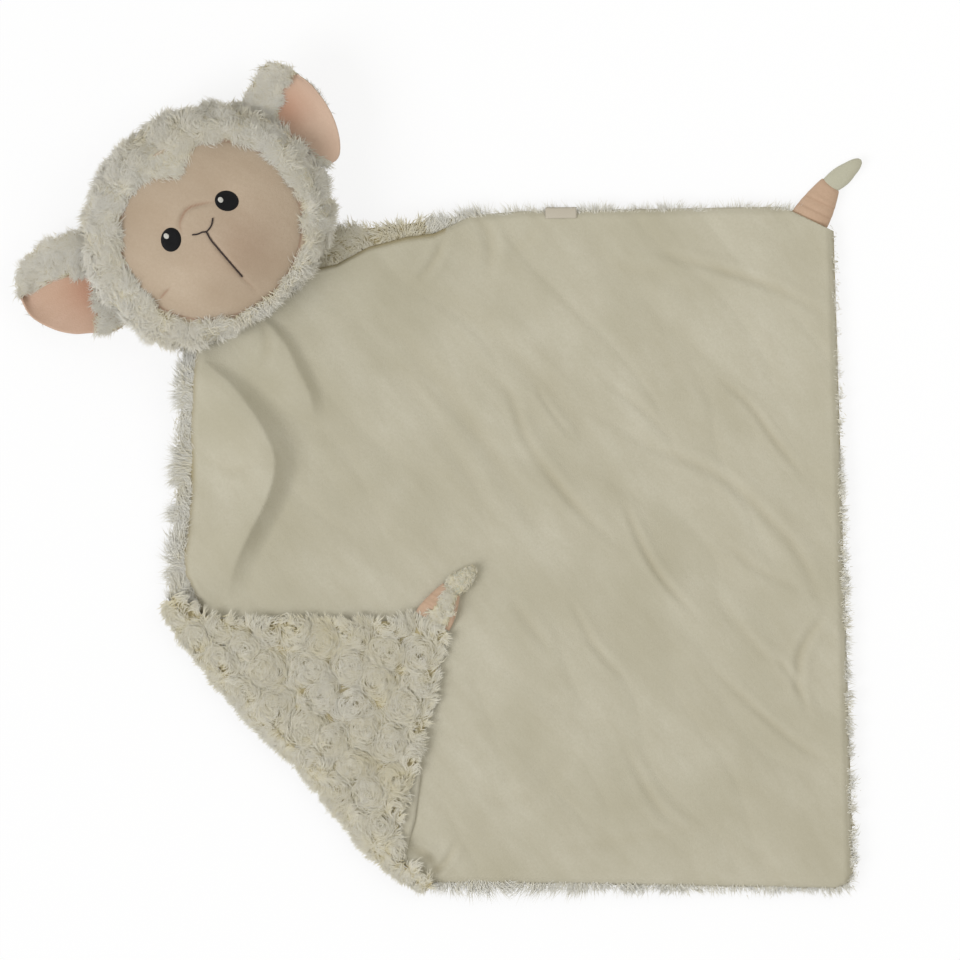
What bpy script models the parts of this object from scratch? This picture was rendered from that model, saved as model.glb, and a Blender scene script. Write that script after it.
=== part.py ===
"""A comfort blanket lovey, laid flat with its face up and one corner folded over.

A square baby blanket of two fabrics, cream velour in front and rosette plush behind, carries a
stuffed lamb head on one corner and a small stuffed paw on each corner beside it. The origin is
under the middle of the blanket, on the surface that it lies on, with +Y towards the head's edge.
"""

import math

import bmesh
import bpy
from mathutils import Matrix, Vector

MM = 0.001
CLEARANCE = 0.3 * MM

# The blanket: its cut side, its two fabrics and the pile that stands past the velour's edge
BLANKET_SIDE = 360 * MM
PLUSH_THICK = 6 * MM
VELOUR_THICK = 1.5 * MM
PILE_OVERHANG = 5 * MM
BLANKET_HALF = BLANKET_SIDE / 2
VELOUR_Z = PLUSH_THICK + CLEARANCE
BLANKET_TOP = VELOUR_Z + VELOUR_THICK

# Where the sewn square's corners lie once it is smoothed out by hand, as shares of half its side
CORNER_SHARES = {
    "bottom_left": (-1.043, -0.974),
    "bottom_right": (1.031, -1.010),
    "top_left": (-0.962, 0.992),
    "top_right": (0.968, 1.022),
}
GRID_COLUMNS = 19
GRID_ROWS = 19
GRID_CROWD_SHARE = 1.45

# The folded corner: how far from the blanket's corner the fold meets each edge
FOLD_UP_LEFT_EDGE = 151 * MM
FOLD_ALONG_BOTTOM_EDGE = 147 * MM
FOLD_Z = BLANKET_TOP + CLEARANCE / 2
FOLD_ARC_STEPS = 8

# The soft ridge that runs down from the neck, as shares of half the blanket's side
RIDGE_HEIGHT = 14 * MM
RIDGE_OUTER_FLANK = 42 * MM
RIDGE_INNER_FLANK = 21 * MM
RIDGE_TOP_SHARES = (-0.887, 0.541)
RIDGE_BEND_SHARE = -0.628
RIDGE_FOOT_SHARES = (-0.857, -0.10)

# The head: a stuffed form lying on its back, turned so that its chin points over the blanket
HEAD_TURN = math.radians(38)
HEAD_FROM_CORNER_X = 7.2 * MM
HEAD_FROM_CORNER_Y = 1.1 * MM
HEAD_HALF_WIDTH = 69 * MM
HEAD_HALF_HEIGHT = 60.5 * MM
HEAD_WIDEST_Z = 20 * MM
HEAD_FUR_THICK = 6 * MM
HOOD_TOP_Z = 50 * MM
NECK_HINGE_ABOVE = 2.1 * MM
NECK_SLOPE_SHARE = 1.25
CROWN_ROUNDNESS = 2.0
CHIN_ROUNDNESS = 2.8
FACE_ROUNDNESS = 2.2
ROUND_STEPS = 32

# The face panel: an oval of velour set into the fur, with a muzzle and two sunken eyes
FACE_HALF_WIDTH = 50 * MM
FACE_HALF_HEIGHT = 47 * MM
FACE_BELOW_CENTRE = 7.5 * MM
FACE_THICK = 2 * MM
FACE_CROWN = 11 * MM
FACE_FULLNESS = 2.6
FACE_MIDLINE = -2 * MM
MUZZLE_RISE = 6 * MM
MUZZLE_BELOW = 16 * MM
MUZZLE_HALF_WIDTH = 24 * MM
MUZZLE_HALF_HEIGHT = 17 * MM
EYE_SPACING = 36.6 * MM
EYE_ABOVE = 8.1 * MM
EYE_LONG = 13 * MM
EYE_WIDE = 11 * MM
EYE_THICK = 1 * MM
EYE_LEAN = math.radians(40)
EYE_SOCKET_DEPTH = 1.5 * MM
EYE_SOCKET_RADIUS = 9 * MM
PATCH_FLAT_SHARE = 0.6
GLINT_ACROSS = 3.2 * MM
GLINT_THICK = 0.4 * MM
GLINT_OFFSET = 2.2 * MM
THREAD_RADIUS = 0.5 * MM
NOSE_HALF_WIDTH = 7 * MM
NOSE_RISE = 3 * MM
NOSE_ABOVE = 0.8 * MM
MOUTH_LENGTH = 29 * MM

# The fur shells' sections. Each point is a share of the way out and a share of the height
BACK_OUTER_SHARES = ((0.45, 0), (0.64, 0), (0.80, 0.14), (0.92, 0.42), (0.985, 0.75))
BACK_INNER_SHARES = ((0.99, 0.75), (0.93, 0.53), (0.80, 0.35), (0.60, 0.30), (0.33, 0.30))
HOOD_OUTER_SHARES = ((0, 0), (0.05, 0.32), (0.17, 0.58), (0.38, 0.80), (0.65, 0.95), (0.88, 1), (1, 0.95))
HOOD_INNER_SHARES = ((1, 0.84), (0.80, 0.84), (0.56, 0.72), (0.42, 0.50), (0.33, 0.25), (0.30, 0))
HOOD_LIP_SHARE = 0.84
STUFFING_SHARES = ((0.37, 0), (0.40, 0.25), (0.50, 0.46), (0.66, 0.66), (0.86, 0.68))
STUFFING_WAIST_SHARE = 0.95
FACE_TUCK_SHARE = 0.90
FACE_RING_SHARES = (1, 0.9, 0.74, 0.56, 0.37, 0.18)

# The ears: cupped leaves of plush lined with velour, each on the head's side
EAR_PLUSH_THICK = 5 * MM
EAR_VELOUR_THICK = 1.5 * MM
EAR_TOP_Z = 22 * MM
EAR_CUP = 6 * MM
LEFT_EAR_REACH = 41 * MM
LEFT_EAR_DROP = 11 * MM
RIGHT_EAR_REACH = 30 * MM
RIGHT_EAR_DROP = -12 * MM
LEFT_EAR_ANGLES = (math.radians(-15), math.radians(33))
RIGHT_EAR_ANGLES = (math.radians(-25), math.radians(34))
EAR_ACROSS_STEPS = 10
EAR_OUT_STEPS = 5
EAR_LINED_STEPS = 6
EAR_EDGE_SHARE = 0.04
EAR_FULLNESS = 2.4
EAR_SKEW_SHARE = 0.12

# The paws: a cuff of velour over plush that ends in a small cream hoof
PAW_BASE_WIDTH = 21 * MM
PAW_WRIST_WIDTH = 13 * MM
PAW_CUT_HEAD_SIDE = 20 * MM
PAW_CUT_FAR_SIDE = 10 * MM
CUFF_LENGTH = 19 * MM
HOOF_LENGTH = 23 * MM
HOOF_WIDTH = 11.5 * MM
PAW_CLOTH_THICK = 1.1 * MM
PAW_THICK = BLANKET_TOP - CLEARANCE
PAW_ARC_STEPS = 8
RIGHT_CUFF_TURN = math.radians(-2)
RIGHT_HOOF_TURN = math.radians(-26)
LEFT_CUFF_TURN = math.radians(2)
LEFT_HOOF_TURN = math.radians(17)
CUFF_STEP_SHARES = (0, 0.35, 0.7, 1)
HOOF_STEP_SHARES = ((0, 1), (0.35, 1), (0.68, 0.9), (0.88, 0.66), (0.97, 0.36))

# The blank sewn-in label that shows at the top edge
LABEL_WIDTH = 17 * MM
LABEL_OUT = 4.6 * MM
LABEL_THICK = 0.4 * MM
LABEL_PLACE_SHARE = 0.578

CREAM_VELOUR = (0.82, 0.78, 0.66)
CREAM_PLUSH = (0.80, 0.77, 0.69)
PEACH_VELOUR = (0.74, 0.52, 0.38)
WHITE_STUFFING = (0.90, 0.90, 0.88)
BLACK_THREAD = (0.02, 0.02, 0.025)
BROWN_THREAD = (0.10, 0.05, 0.04)
WHITE_THREAD = (0.90, 0.90, 0.90)
LABEL_WHITE = (0.86, 0.85, 0.82)


def clear_scene():
    for item in list(bpy.data.objects):
        bpy.data.objects.remove(item)


def corner(name, outset=0):
    """A corner of the blanket, moved out along both axes."""
    share_x, share_y = CORNER_SHARES[name]
    x = share_x * BLANKET_HALF + math.copysign(outset, share_x)
    y = share_y * BLANKET_HALF + math.copysign(outset, share_y)
    return Vector((x, y, 0))


def step_towards(start, end, length):
    return start + (end - start).normalized() * length


FOLD_LEFT_END = step_towards(corner("bottom_left"), corner("top_left"), FOLD_UP_LEFT_EDGE)
FOLD_RIGHT_END = step_towards(corner("bottom_left"), corner("bottom_right"), FOLD_ALONG_BOTTOM_EDGE)
FOLD_ALONG = (FOLD_RIGHT_END - FOLD_LEFT_END).normalized()
FOLD_INWARD = Vector((-FOLD_ALONG.y, FOLD_ALONG.x, 0))
FOLD_PIVOT = (FOLD_LEFT_END + FOLD_RIGHT_END) / 2 + Vector((0, 0, FOLD_Z))

HEAD_CENTRE = corner("top_left") + Vector((HEAD_FROM_CORNER_X, HEAD_FROM_CORNER_Y, 0))
HEAD_RIGHT = Vector((math.cos(HEAD_TURN), math.sin(HEAD_TURN), 0))
HEAD_UP = Vector((-HEAD_RIGHT.y, HEAD_RIGHT.x, 0))
NECK_HINGE_Z = HEAD_WIDEST_Z + NECK_HINGE_ABOVE
NECK_PIVOT = HEAD_CENTRE - HEAD_UP * HEAD_HALF_HEIGHT + Vector((0, 0, NECK_HINGE_Z))
NECK_RISE = HEAD_WIDEST_Z - 2 * CLEARANCE - BLANKET_TOP
NECK_SLOPE_LENGTH = NECK_SLOPE_SHARE * HEAD_HALF_HEIGHT
FACE_CENTRE = HEAD_CENTRE - HEAD_UP * FACE_BELOW_CENTRE
HOOD_BASE_Z = HEAD_WIDEST_Z + CLEARANCE / 2
HOOD_HEIGHT = HOOD_TOP_Z - HOOD_BASE_Z
FACE_SEAM_Z = HOOD_BASE_Z + HOOD_LIP_SHARE * HOOD_HEIGHT - 2 * CLEARANCE


def add_object(name, mesh, pivot, colour):
    """Closes a bmesh into a named object under its pivot, with a fabric finish of its own."""
    bmesh.ops.recalc_face_normals(mesh, faces=mesh.faces)
    data = bpy.data.meshes.new(name)
    mesh.to_mesh(data)
    mesh.free()
    data.shade_smooth()
    item = bpy.data.objects.new(name, data)
    return place(item, pivot, colour)


def place(item, pivot, colour):
    bpy.context.collection.objects.link(item)
    finish = bpy.data.materials.new(item.name)
    finish.use_nodes = True
    shader = finish.node_tree.nodes["Principled BSDF"]
    shader.inputs["Base Color"].default_value = (*colour, 1)
    shader.inputs["Roughness"].default_value = 0.95
    shader.inputs["Metallic"].default_value = 0
    item.data.materials.append(finish)
    if pivot:
        item.parent = pivot
        item.location = -world_place(pivot)
    return item


def world_place(pivot):
    """A pivot's place in the blanket's frame. Pivots are never turned, so their places add up."""
    above = world_place(pivot.parent) if pivot.parent else Vector((0, 0, 0))
    return above + pivot.location


def add_pivot(name, where, above=None):
    pivot = bpy.data.objects.new(name, None)
    bpy.context.collection.objects.link(pivot)
    pivot.location = where
    if above:
        pivot.parent = above
        pivot.location = where - world_place(above)
    return pivot


def ease(share):
    """Falls smoothly from 1 to 0 as the share goes from 0 to 1."""
    share = min(max(share, 0), 1)
    return (1 - share) ** 2 * (1 + 2 * share)


def superellipse(angle, half_width, half_height, roundness):
    across = math.copysign(abs(math.cos(angle)) ** (2 / roundness), math.cos(angle))
    up = math.copysign(abs(math.sin(angle)) ** (2 / roundness), math.sin(angle))
    return across * half_width, up * half_height


def head_outline(angle, outset=0):
    """The head's outline about its centre, seen from above, fuller at the chin than at the crown."""
    roundness = CROWN_ROUNDNESS if math.sin(angle) > 0 else CHIN_ROUNDNESS
    across, up = superellipse(angle, HEAD_HALF_WIDTH + outset, HEAD_HALF_HEIGHT + outset, roundness)
    return HEAD_CENTRE + HEAD_RIGHT * across + HEAD_UP * up


def face_outline(angle, share=1):
    across, up = superellipse(angle, FACE_HALF_WIDTH * share, FACE_HALF_HEIGHT * share, FACE_ROUNDNESS)
    return FACE_CENTRE + HEAD_RIGHT * across + HEAD_UP * up


def head_share(where):
    """How far out a place lies from the head's centre, where its outline is 1."""
    away = where - HEAD_CENTRE
    across = abs(away.dot(HEAD_RIGHT)) / HEAD_HALF_WIDTH
    up = away.dot(HEAD_UP) / HEAD_HALF_HEIGHT
    roundness = CROWN_ROUNDNESS if up > 0 else CHIN_ROUNDNESS
    return (across**roundness + abs(up) ** roundness) ** (1 / roundness)


def ridge_height(where):
    top_x, top_y = (share * BLANKET_HALF for share in RIDGE_TOP_SHARES)
    foot_x, foot_y = (share * BLANKET_HALF for share in RIDGE_FOOT_SHARES)
    bend_x = RIDGE_BEND_SHARE * BLANKET_HALF
    along = (top_y - where.y) / (top_y - foot_y)
    if not 0 < along < 1:
        return 0
    crest_x = (1 - along) ** 2 * top_x + 2 * along * (1 - along) * bend_x + along**2 * foot_x
    flank = RIDGE_INNER_FLANK if where.x > crest_x else RIDGE_OUTER_FLANK
    return RIDGE_HEIGHT * math.sin(math.pi * along) * ease(abs(where.x - crest_x) / flank)


def cloth_rise(where):
    """How far the blanket's underside lifts off the surface: up to the neck, and along the ridge."""
    from_head = (head_share(where) - 1) * HEAD_HALF_HEIGHT
    return NECK_RISE * ease(from_head / NECK_SLOPE_LENGTH) + ridge_height(where)


def trim(mesh, where, outward):
    """Cuts off what lies beyond a plane."""
    bmesh.ops.bisect_plane(
        mesh,
        geom=mesh.verts[:] + mesh.edges[:] + mesh.faces[:],
        plane_co=where,
        plane_no=outward,
        clear_outer=True,
    )


def layer_sheet(outset, rise):
    """A sheet cut to the blanket's outline. All layers share one grid, so their folds nest."""
    mesh = bmesh.new()
    bmesh.ops.create_grid(mesh, x_segments=GRID_COLUMNS, y_segments=GRID_ROWS, size=1)
    left_low, right_low = corner("bottom_left", PILE_OVERHANG), corner("bottom_right", PILE_OVERHANG)
    left_high, right_high = corner("top_left", PILE_OVERHANG), corner("top_right", PILE_OVERHANG)
    for vertex in mesh.verts:
        across = ((vertex.co.x + 1) / 2) ** GRID_CROWD_SHARE
        up = (vertex.co.y + 1) / 2
        low = left_low.lerp(right_low, across)
        high = left_high.lerp(right_high, across)
        vertex.co = low.lerp(high, up)
        vertex.co.z = rise(vertex.co)
    bmesh.ops.triangulate(mesh, faces=mesh.faces)
    if outset < PILE_OVERHANG:
        order = ("bottom_left", "bottom_right", "top_right", "top_left")
        for start, end in zip(order, order[1:] + order[:1]):
            along = corner(end, outset) - corner(start, outset)
            trim(mesh, corner(start, outset), Vector((along.y, -along.x, 0)))
    return mesh


def thicken(mesh, underside, thickness):
    """Turns a sheet into a solid layer, lifted by the layers under it."""
    grown = bmesh.ops.extrude_face_region(mesh, geom=mesh.faces[:])["geom"]
    upper = {item for item in grown if isinstance(item, bmesh.types.BMVert)}
    for vertex in mesh.verts:
        lift = thickness if vertex in upper else 0
        vertex.co.z += underside + lift


def no_rise(where):
    """A flat sheet's rise."""
    return 0


def paw_seat(name):
    """The middle of a paw's sewn base, across its corner, and the way it points when flat."""
    near = step_towards(corner(name), corner("top_left"), PAW_CUT_HEAD_SIDE)
    far = step_towards(corner(name), corner("bottom_right"), PAW_CUT_FAR_SIDE)
    along = (far - near).normalized()
    outward = Vector((along.y, -along.x, 0))
    if outward.dot(corner(name)) < 0:
        outward = -outward
    return (near + far) / 2, outward


def neck_cutter():
    """The clear space that the head's outline leaves in the blanket."""
    mesh = bmesh.new()
    angles = [2 * math.pi * step / (2 * ROUND_STEPS) for step in range(2 * ROUND_STEPS)]
    ring = [at_height(head_outline(angle, CLEARANCE), -HOOD_TOP_Z) for angle in angles]
    mesh.faces.new([mesh.verts.new(point) for point in ring])
    grown = bmesh.ops.extrude_face_region(mesh, geom=mesh.faces[:])["geom"]
    upper = [item for item in grown if isinstance(item, bmesh.types.BMVert)]
    bmesh.ops.translate(mesh, verts=upper, vec=(0, 0, 2 * HOOD_TOP_Z))
    cutter = add_object("neck_cutter", mesh, None, WHITE_THREAD)
    cutter.hide_render = True
    cutter.display_type = "WIRE"
    return cutter


def blanket_layer(name, underside, thickness, outset, colour, cutter):
    """One fabric of the laid blanket, without the folded corner, the neck and the paws' corners."""
    mesh = layer_sheet(outset, cloth_rise)
    trim(mesh, FOLD_LEFT_END + FOLD_INWARD * CLEARANCE, -FOLD_INWARD)
    base, outward = paw_seat("top_right")
    trim(mesh, base, outward)
    thicken(mesh, underside, thickness)
    layer = add_object(name, mesh, None, colour)
    cut = layer.modifiers.new("neck", "BOOLEAN")
    cut.operation = "DIFFERENCE"
    cut.solver = "EXACT"
    cut.object = cutter
    return layer


def turn_over():
    """The half turn about the fold that lays the blanket's corner face down on it."""
    there = Matrix.Translation(FOLD_PIVOT)
    return there @ Matrix.Rotation(math.pi, 4, FOLD_ALONG) @ there.inverted()


def corner_layer(name, underside, thickness, outset, colour, pivot):
    """One fabric of the folded corner, made flat in its place and turned over with it."""
    mesh = layer_sheet(outset, no_rise)
    trim(mesh, FOLD_LEFT_END - FOLD_INWARD * CLEARANCE, FOLD_INWARD)
    base, outward = paw_seat("bottom_left")
    trim(mesh, base, outward)
    thicken(mesh, underside, thickness)
    bmesh.ops.transform(mesh, matrix=turn_over(), verts=mesh.verts)
    return add_object(name, mesh, pivot, colour)


def fold_strip():
    """The plush that goes round the outside of the fold, as a half tube along it."""
    mesh = bmesh.new()
    outer = FOLD_Z
    inner = FOLD_Z - PLUSH_THICK
    angles = [math.pi * step / FOLD_ARC_STEPS for step in range(FOLD_ARC_STEPS + 1)]
    section = []
    for radius, way_round in ((outer, angles), (inner, angles[::-1])):
        for angle in way_round:
            out = FOLD_LEFT_END - FOLD_INWARD * radius * math.sin(angle)
            section.append(at_height(out, FOLD_Z - radius * math.cos(angle)))
    start = [mesh.verts.new(point) for point in section]
    end = [mesh.verts.new(point + FOLD_RIGHT_END - FOLD_LEFT_END) for point in section]
    join_rings(mesh, start, end)
    mesh.faces.new(start)
    mesh.faces.new(end)
    return add_object("fold_strip", mesh, None, CREAM_PLUSH)


def join_rings(mesh, first, second):
    """Faces between two rings of vertices, either of which may be a single point."""
    count = max(len(first), len(second))
    for step in range(count):
        after = (step + 1) % count
        if len(first) == 1:
            mesh.faces.new((first[0], second[step], second[after]))
        elif len(second) == 1:
            mesh.faces.new((first[step], first[after], second[0]))
        else:
            mesh.faces.new((first[step], first[after], second[after], second[step]))


def ring_solid(name, rings, pivot, colour, looped=False):
    """A solid whose skin runs through rings of points, from pole to pole or round in a loop."""
    mesh = bmesh.new()
    made = [[mesh.verts.new(point) for point in ring] for ring in rings]
    for first, second in zip(made, made[1:]):
        join_rings(mesh, first, second)
    if looped:
        join_rings(mesh, made[-1], made[0])
    return add_object(name, mesh, pivot, colour)


def round_angles():
    return [2 * math.pi * step / ROUND_STEPS for step in range(ROUND_STEPS)]


def at_height(where, height):
    return Vector((where.x, where.y, height))


def head_ring(share, height):
    """A ring of the head's outline, drawn in towards its centre."""
    ring = [HEAD_CENTRE.lerp(head_outline(angle), share) for angle in round_angles()]
    return [at_height(point, height) for point in ring]


def hood_ring(share, height):
    """A ring between the head's outline and the face's, which are the shares 0 and 1."""
    ring = [head_outline(angle).lerp(face_outline(angle), share) for angle in round_angles()]
    return [at_height(point, height) for point in ring]


def face_height(across, up):
    """The face's surface over a place given from the face's centre."""
    share = math.hypot(across / FACE_HALF_WIDTH, up / FACE_HALF_HEIGHT)
    height = FACE_SEAM_Z + FACE_CROWN * (1 - min(share, 1) ** FACE_FULLNESS)
    side = (across - FACE_MIDLINE) / MUZZLE_HALF_WIDTH
    below = (up + MUZZLE_BELOW) / MUZZLE_HALF_HEIGHT
    height += MUZZLE_RISE * math.exp(-(side**2) - below**2) * ease(share**4)
    for eye in (-1, 1):
        from_eye = math.hypot(across - FACE_MIDLINE - eye * EYE_SPACING / 2, up - EYE_ABOVE)
        height -= EYE_SOCKET_DEPTH * math.exp(-((from_eye / EYE_SOCKET_RADIUS) ** 2))
    return height


def on_face(across, up, above=0):
    where = FACE_CENTRE + HEAD_RIGHT * across + HEAD_UP * up
    return at_height(where, face_height(across, up) + above)


def face_ring(share, above):
    ring = []
    for angle in round_angles():
        where = face_outline(angle, share) - FACE_CENTRE
        ring.append(on_face(where.dot(HEAD_RIGHT), where.dot(HEAD_UP), above))
    return ring


def head_back(pivot):
    """The fur bowl that the head lies on, cut flat underneath and open towards the hood."""
    rim = HEAD_WIDEST_Z - CLEARANCE / 2
    inner_share = 1 - HEAD_FUR_THICK / HEAD_HALF_WIDTH
    rings = [[HEAD_CENTRE]]
    rings += [head_ring(out, up * HEAD_WIDEST_Z) for out, up in BACK_OUTER_SHARES]
    rings += [head_ring(1, rim), head_ring(inner_share, rim)]
    rings += [head_ring(out * inner_share, bowl_floor(up)) for out, up in BACK_INNER_SHARES]
    rings += [[at_height(HEAD_CENTRE, HEAD_FUR_THICK)]]
    return ring_solid("head_back", rings, pivot, CREAM_PLUSH)


def bowl_floor(share):
    """The bowl's inner height: the fur's thickness at the bottom, the widest height at the rim."""
    lowest = BACK_INNER_SHARES[-1][1]
    return HEAD_FUR_THICK + (share - lowest) / (1 - lowest) * (HEAD_WIDEST_Z - HEAD_FUR_THICK)


def head_hood(pivot):
    """The fur ring over the head's front, round the opening for the face."""
    section = HOOD_OUTER_SHARES + HOOD_INNER_SHARES
    rings = [hood_ring(out, HOOD_BASE_Z + up * HOOD_HEIGHT) for out, up in section]
    return ring_solid("head_hood", rings, pivot, CREAM_PLUSH, looped=True)


def head_face(pivot):
    """The peach velour panel, with its edge tucked under the hood's lip."""
    rings = [[on_face(0, 0)]]
    rings += [face_ring(share, 0) for share in reversed(FACE_RING_SHARES)]
    rings += [hood_ring(FACE_TUCK_SHARE, FACE_SEAM_Z), hood_ring(FACE_TUCK_SHARE, FACE_SEAM_Z - FACE_THICK)]
    rings += [face_ring(share, -FACE_THICK) for share in FACE_RING_SHARES]
    rings += [[on_face(0, 0, -FACE_THICK)]]
    return ring_solid("head_face", rings, pivot, PEACH_VELOUR)


def head_stuffing(pivot):
    """The loose filling, shown as the one form that it fills the head to."""
    inner_share = 1 - (HEAD_FUR_THICK + 3 * CLEARANCE) / HEAD_HALF_WIDTH
    rest = HOOD_BASE_Z + CLEARANCE
    under_face = -FACE_THICK - 2 * CLEARANCE
    rings = [[at_height(HEAD_CENTRE, HEAD_FUR_THICK + CLEARANCE)]]
    bowl = [(out * inner_share, bowl_floor(up) + CLEARANCE) for out, up in reversed(BACK_INNER_SHARES)]
    rings += [head_ring(out, height) for out, height in bowl]
    rings += [head_ring(inner_share * STUFFING_WAIST_SHARE, rest)]
    rings += [hood_ring(out, max(rest, HOOD_BASE_Z + up * HOOD_HEIGHT)) for out, up in STUFFING_SHARES]
    rings += [face_ring(share, under_face) for share in FACE_RING_SHARES[1:]]
    rings += [[on_face(0, 0, under_face)]]
    return ring_solid("head_stuffing", rings, pivot, WHITE_STUFFING)


def oval_patch(name, centre, size, lean, floor, pivot, colour):
    """A raised oval of stitching that follows the face."""
    across_0, up_0 = centre
    long, wide, thick = size
    count = ROUND_STEPS // 2

    def ring(share, above):
        points = []
        for step in range(count):
            angle = 2 * math.pi * step / count
            x = math.cos(angle) * wide / 2 * share
            y = math.sin(angle) * long / 2 * share
            across = across_0 + x * math.cos(lean) - y * math.sin(lean)
            up = up_0 + x * math.sin(lean) + y * math.cos(lean)
            points.append(on_face(across, up, above))
        return points

    top = floor + thick
    rings = [[on_face(across_0, up_0, top)], ring(PATCH_FLAT_SHARE, top)]
    rings += [ring(1, floor + thick / 2), ring(1, floor)]
    rings += [ring(PATCH_FLAT_SHARE, floor), [on_face(across_0, up_0, floor)]]
    return ring_solid(name, rings, pivot, colour)


def eye(side, sign, pivot):
    """An eye of black satin stitch with its white glint."""
    across = FACE_MIDLINE + sign * EYE_SPACING / 2
    eye_place = (across, EYE_ABOVE)
    eye_size = (EYE_LONG, EYE_WIDE, EYE_THICK)
    eye_floor = 2 * CLEARANCE
    oval_patch(f"eye_{side}", eye_place, eye_size, sign * EYE_LEAN, eye_floor, pivot, BLACK_THREAD)
    glint_place = (across, EYE_ABOVE + GLINT_OFFSET)
    glint_size = (GLINT_ACROSS, GLINT_ACROSS, GLINT_THICK)
    glint_floor = eye_floor + EYE_THICK + CLEARANCE
    oval_patch(f"eye_glint_{side}", glint_place, glint_size, 0, glint_floor, pivot, WHITE_THREAD)


def thread(name, places, pivot, colour):
    """A raised line of stitching along places on the face."""
    line = bpy.data.curves.new(name, "CURVE")
    line.dimensions = "3D"
    line.bevel_depth = THREAD_RADIUS
    line.bevel_resolution = 1
    line.use_fill_caps = True
    spline = line.splines.new("POLY")
    spline.points.add(len(places) - 1)
    for point, (across, up) in zip(spline.points, places):
        point.co = (*on_face(across, up, THREAD_RADIUS + 2 * CLEARANCE), 1)
    return place(bpy.data.objects.new(name, line), pivot, colour)


def nose_and_mouth(pivot):
    """Brown thread: a wide V for the nose, and one line from it down the muzzle's seam."""
    nose = []
    for step in range(-4, 5):
        share = step / 4
        up = NOSE_ABOVE + NOSE_RISE * abs(share) ** 1.5
        nose.append((FACE_MIDLINE + share * NOSE_HALF_WIDTH, up))
    thread("nose_stitching", nose, pivot, BROWN_THREAD)
    start = NOSE_ABOVE - 2 * THREAD_RADIUS - 2 * CLEARANCE
    mouth = [(FACE_MIDLINE, start - MOUTH_LENGTH * step / 10) for step in range(11)]
    thread("mouth_stitching", mouth, pivot, BROWN_THREAD)


def ear_place(sign, angles, reach, drop, across, out):
    """A place on an ear's front: across from its lower to its upper edge, and out from the head."""
    angle = angles[0] + (angles[1] - angles[0]) * across
    foot = head_outline(angle if sign > 0 else math.pi - angle, 2 * CLEARANCE)
    lean = min(max(across - EAR_SKEW_SHARE * math.sin(math.pi * across), 0), 1)
    full = (1 - abs(2 * lean - 1) ** EAR_FULLNESS) ** (1 / EAR_FULLNESS)
    away = (foot - HEAD_CENTRE).normalized()
    where = foot + away * reach * full * out
    bowl = EAR_CUP * out * (2 * across - 1) ** 2 + EAR_CUP * out**3
    return at_height(where, EAR_TOP_Z - drop * out**1.5 * full + bowl - EAR_CUP * out)


def layer_between(name, under, over, pivot, colour):
    """A solid between two grids of points that match row by row."""
    mesh = bmesh.new()
    rows, columns = len(under), len(under[0])
    low = [[mesh.verts.new(point) for point in row] for row in under]
    high = [[mesh.verts.new(point) for point in row] for row in over]
    for row in range(rows - 1):
        for column in range(columns - 1):
            for grid in (low, high):
                near, far = grid[row], grid[row + 1]
                mesh.faces.new((near[column], near[column + 1], far[column + 1], far[column]))
    border = [(0, column) for column in range(columns)]
    border += [(row, columns - 1) for row in range(1, rows)]
    border += [(rows - 1, column) for column in range(columns - 2, -1, -1)]
    border += [(row, 0) for row in range(rows - 2, 0, -1)]
    for (row, column), (next_row, next_column) in zip(border, border[1:] + border[:1]):
        here, there = low[row][column], low[next_row][next_column]
        mesh.faces.new((here, there, high[next_row][next_column], high[row][column]))
    return add_object(name, mesh, pivot, colour)


def ear(side, sign, angles, reach, drop, pivot):
    """A plush leaf with a roll of fur along its upper front, and a velour lining below the roll."""
    lining_drop = EAR_VELOUR_THICK + CLEARANCE

    def row(step, lowered):
        across = EAR_EDGE_SHARE + (1 - 2 * EAR_EDGE_SHARE) * step / EAR_ACROSS_STEPS
        outs = [out / EAR_OUT_STEPS for out in range(EAR_OUT_STEPS + 1)]
        points = [ear_place(sign, angles, reach, drop, across, out) for out in outs]
        return [point - Vector((0, 0, lowered)) for point in points]

    steps = range(EAR_ACROSS_STEPS + 1)
    lined = range(EAR_LINED_STEPS + 1)
    under = [row(step, lining_drop + EAR_PLUSH_THICK) for step in steps]
    over = [row(step, lining_drop if step in lined else 0) for step in steps]
    layer_between(f"ear_{side}_plush", under, over, pivot, CREAM_PLUSH)
    under = [row(step, EAR_VELOUR_THICK) for step in lined]
    over = [row(step, 0) for step in lined]
    layer_between(f"ear_{side}_lining", under, over, pivot, PEACH_VELOUR)


def paw_spine(base, outward, cuff_turn, hoof_turn):
    """A function from a distance along the paw to its middle and its sideways direction."""
    cuff_way = Matrix.Rotation(cuff_turn, 3, "Z") @ outward
    hoof_way = Matrix.Rotation(hoof_turn, 3, "Z") @ outward
    wrist = base + cuff_way * CUFF_LENGTH

    def spine(along):
        bend = ease(1 - min(along / (CUFF_LENGTH + HOOF_LENGTH), 1))
        way = outward.lerp(hoof_way, bend).normalized()
        past_wrist = max(along - CUFF_LENGTH, 0)
        middle = wrist + hoof_way * past_wrist if past_wrist else base + cuff_way * along
        return middle, Vector((-way.y, way.x, 0))

    return spine


def paw_section(spine, along, half_width, half_thick, start, end, steps):
    """Points of an ellipse across the paw, between two angles counted from its left side."""
    middle, side = spine(along)
    points = []
    for step in range(steps + 1):
        angle = start + (end - start) * step / steps
        sideways = side * half_width * math.cos(angle)
        height = BLANKET_TOP / 2 + half_thick * math.sin(angle)
        points.append(at_height(middle + sideways, height))
    return points


def cuff_half_width(share):
    return (PAW_BASE_WIDTH + (PAW_WRIST_WIDTH - PAW_BASE_WIDTH) * math.sin(share * math.pi / 2)) / 2


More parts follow.
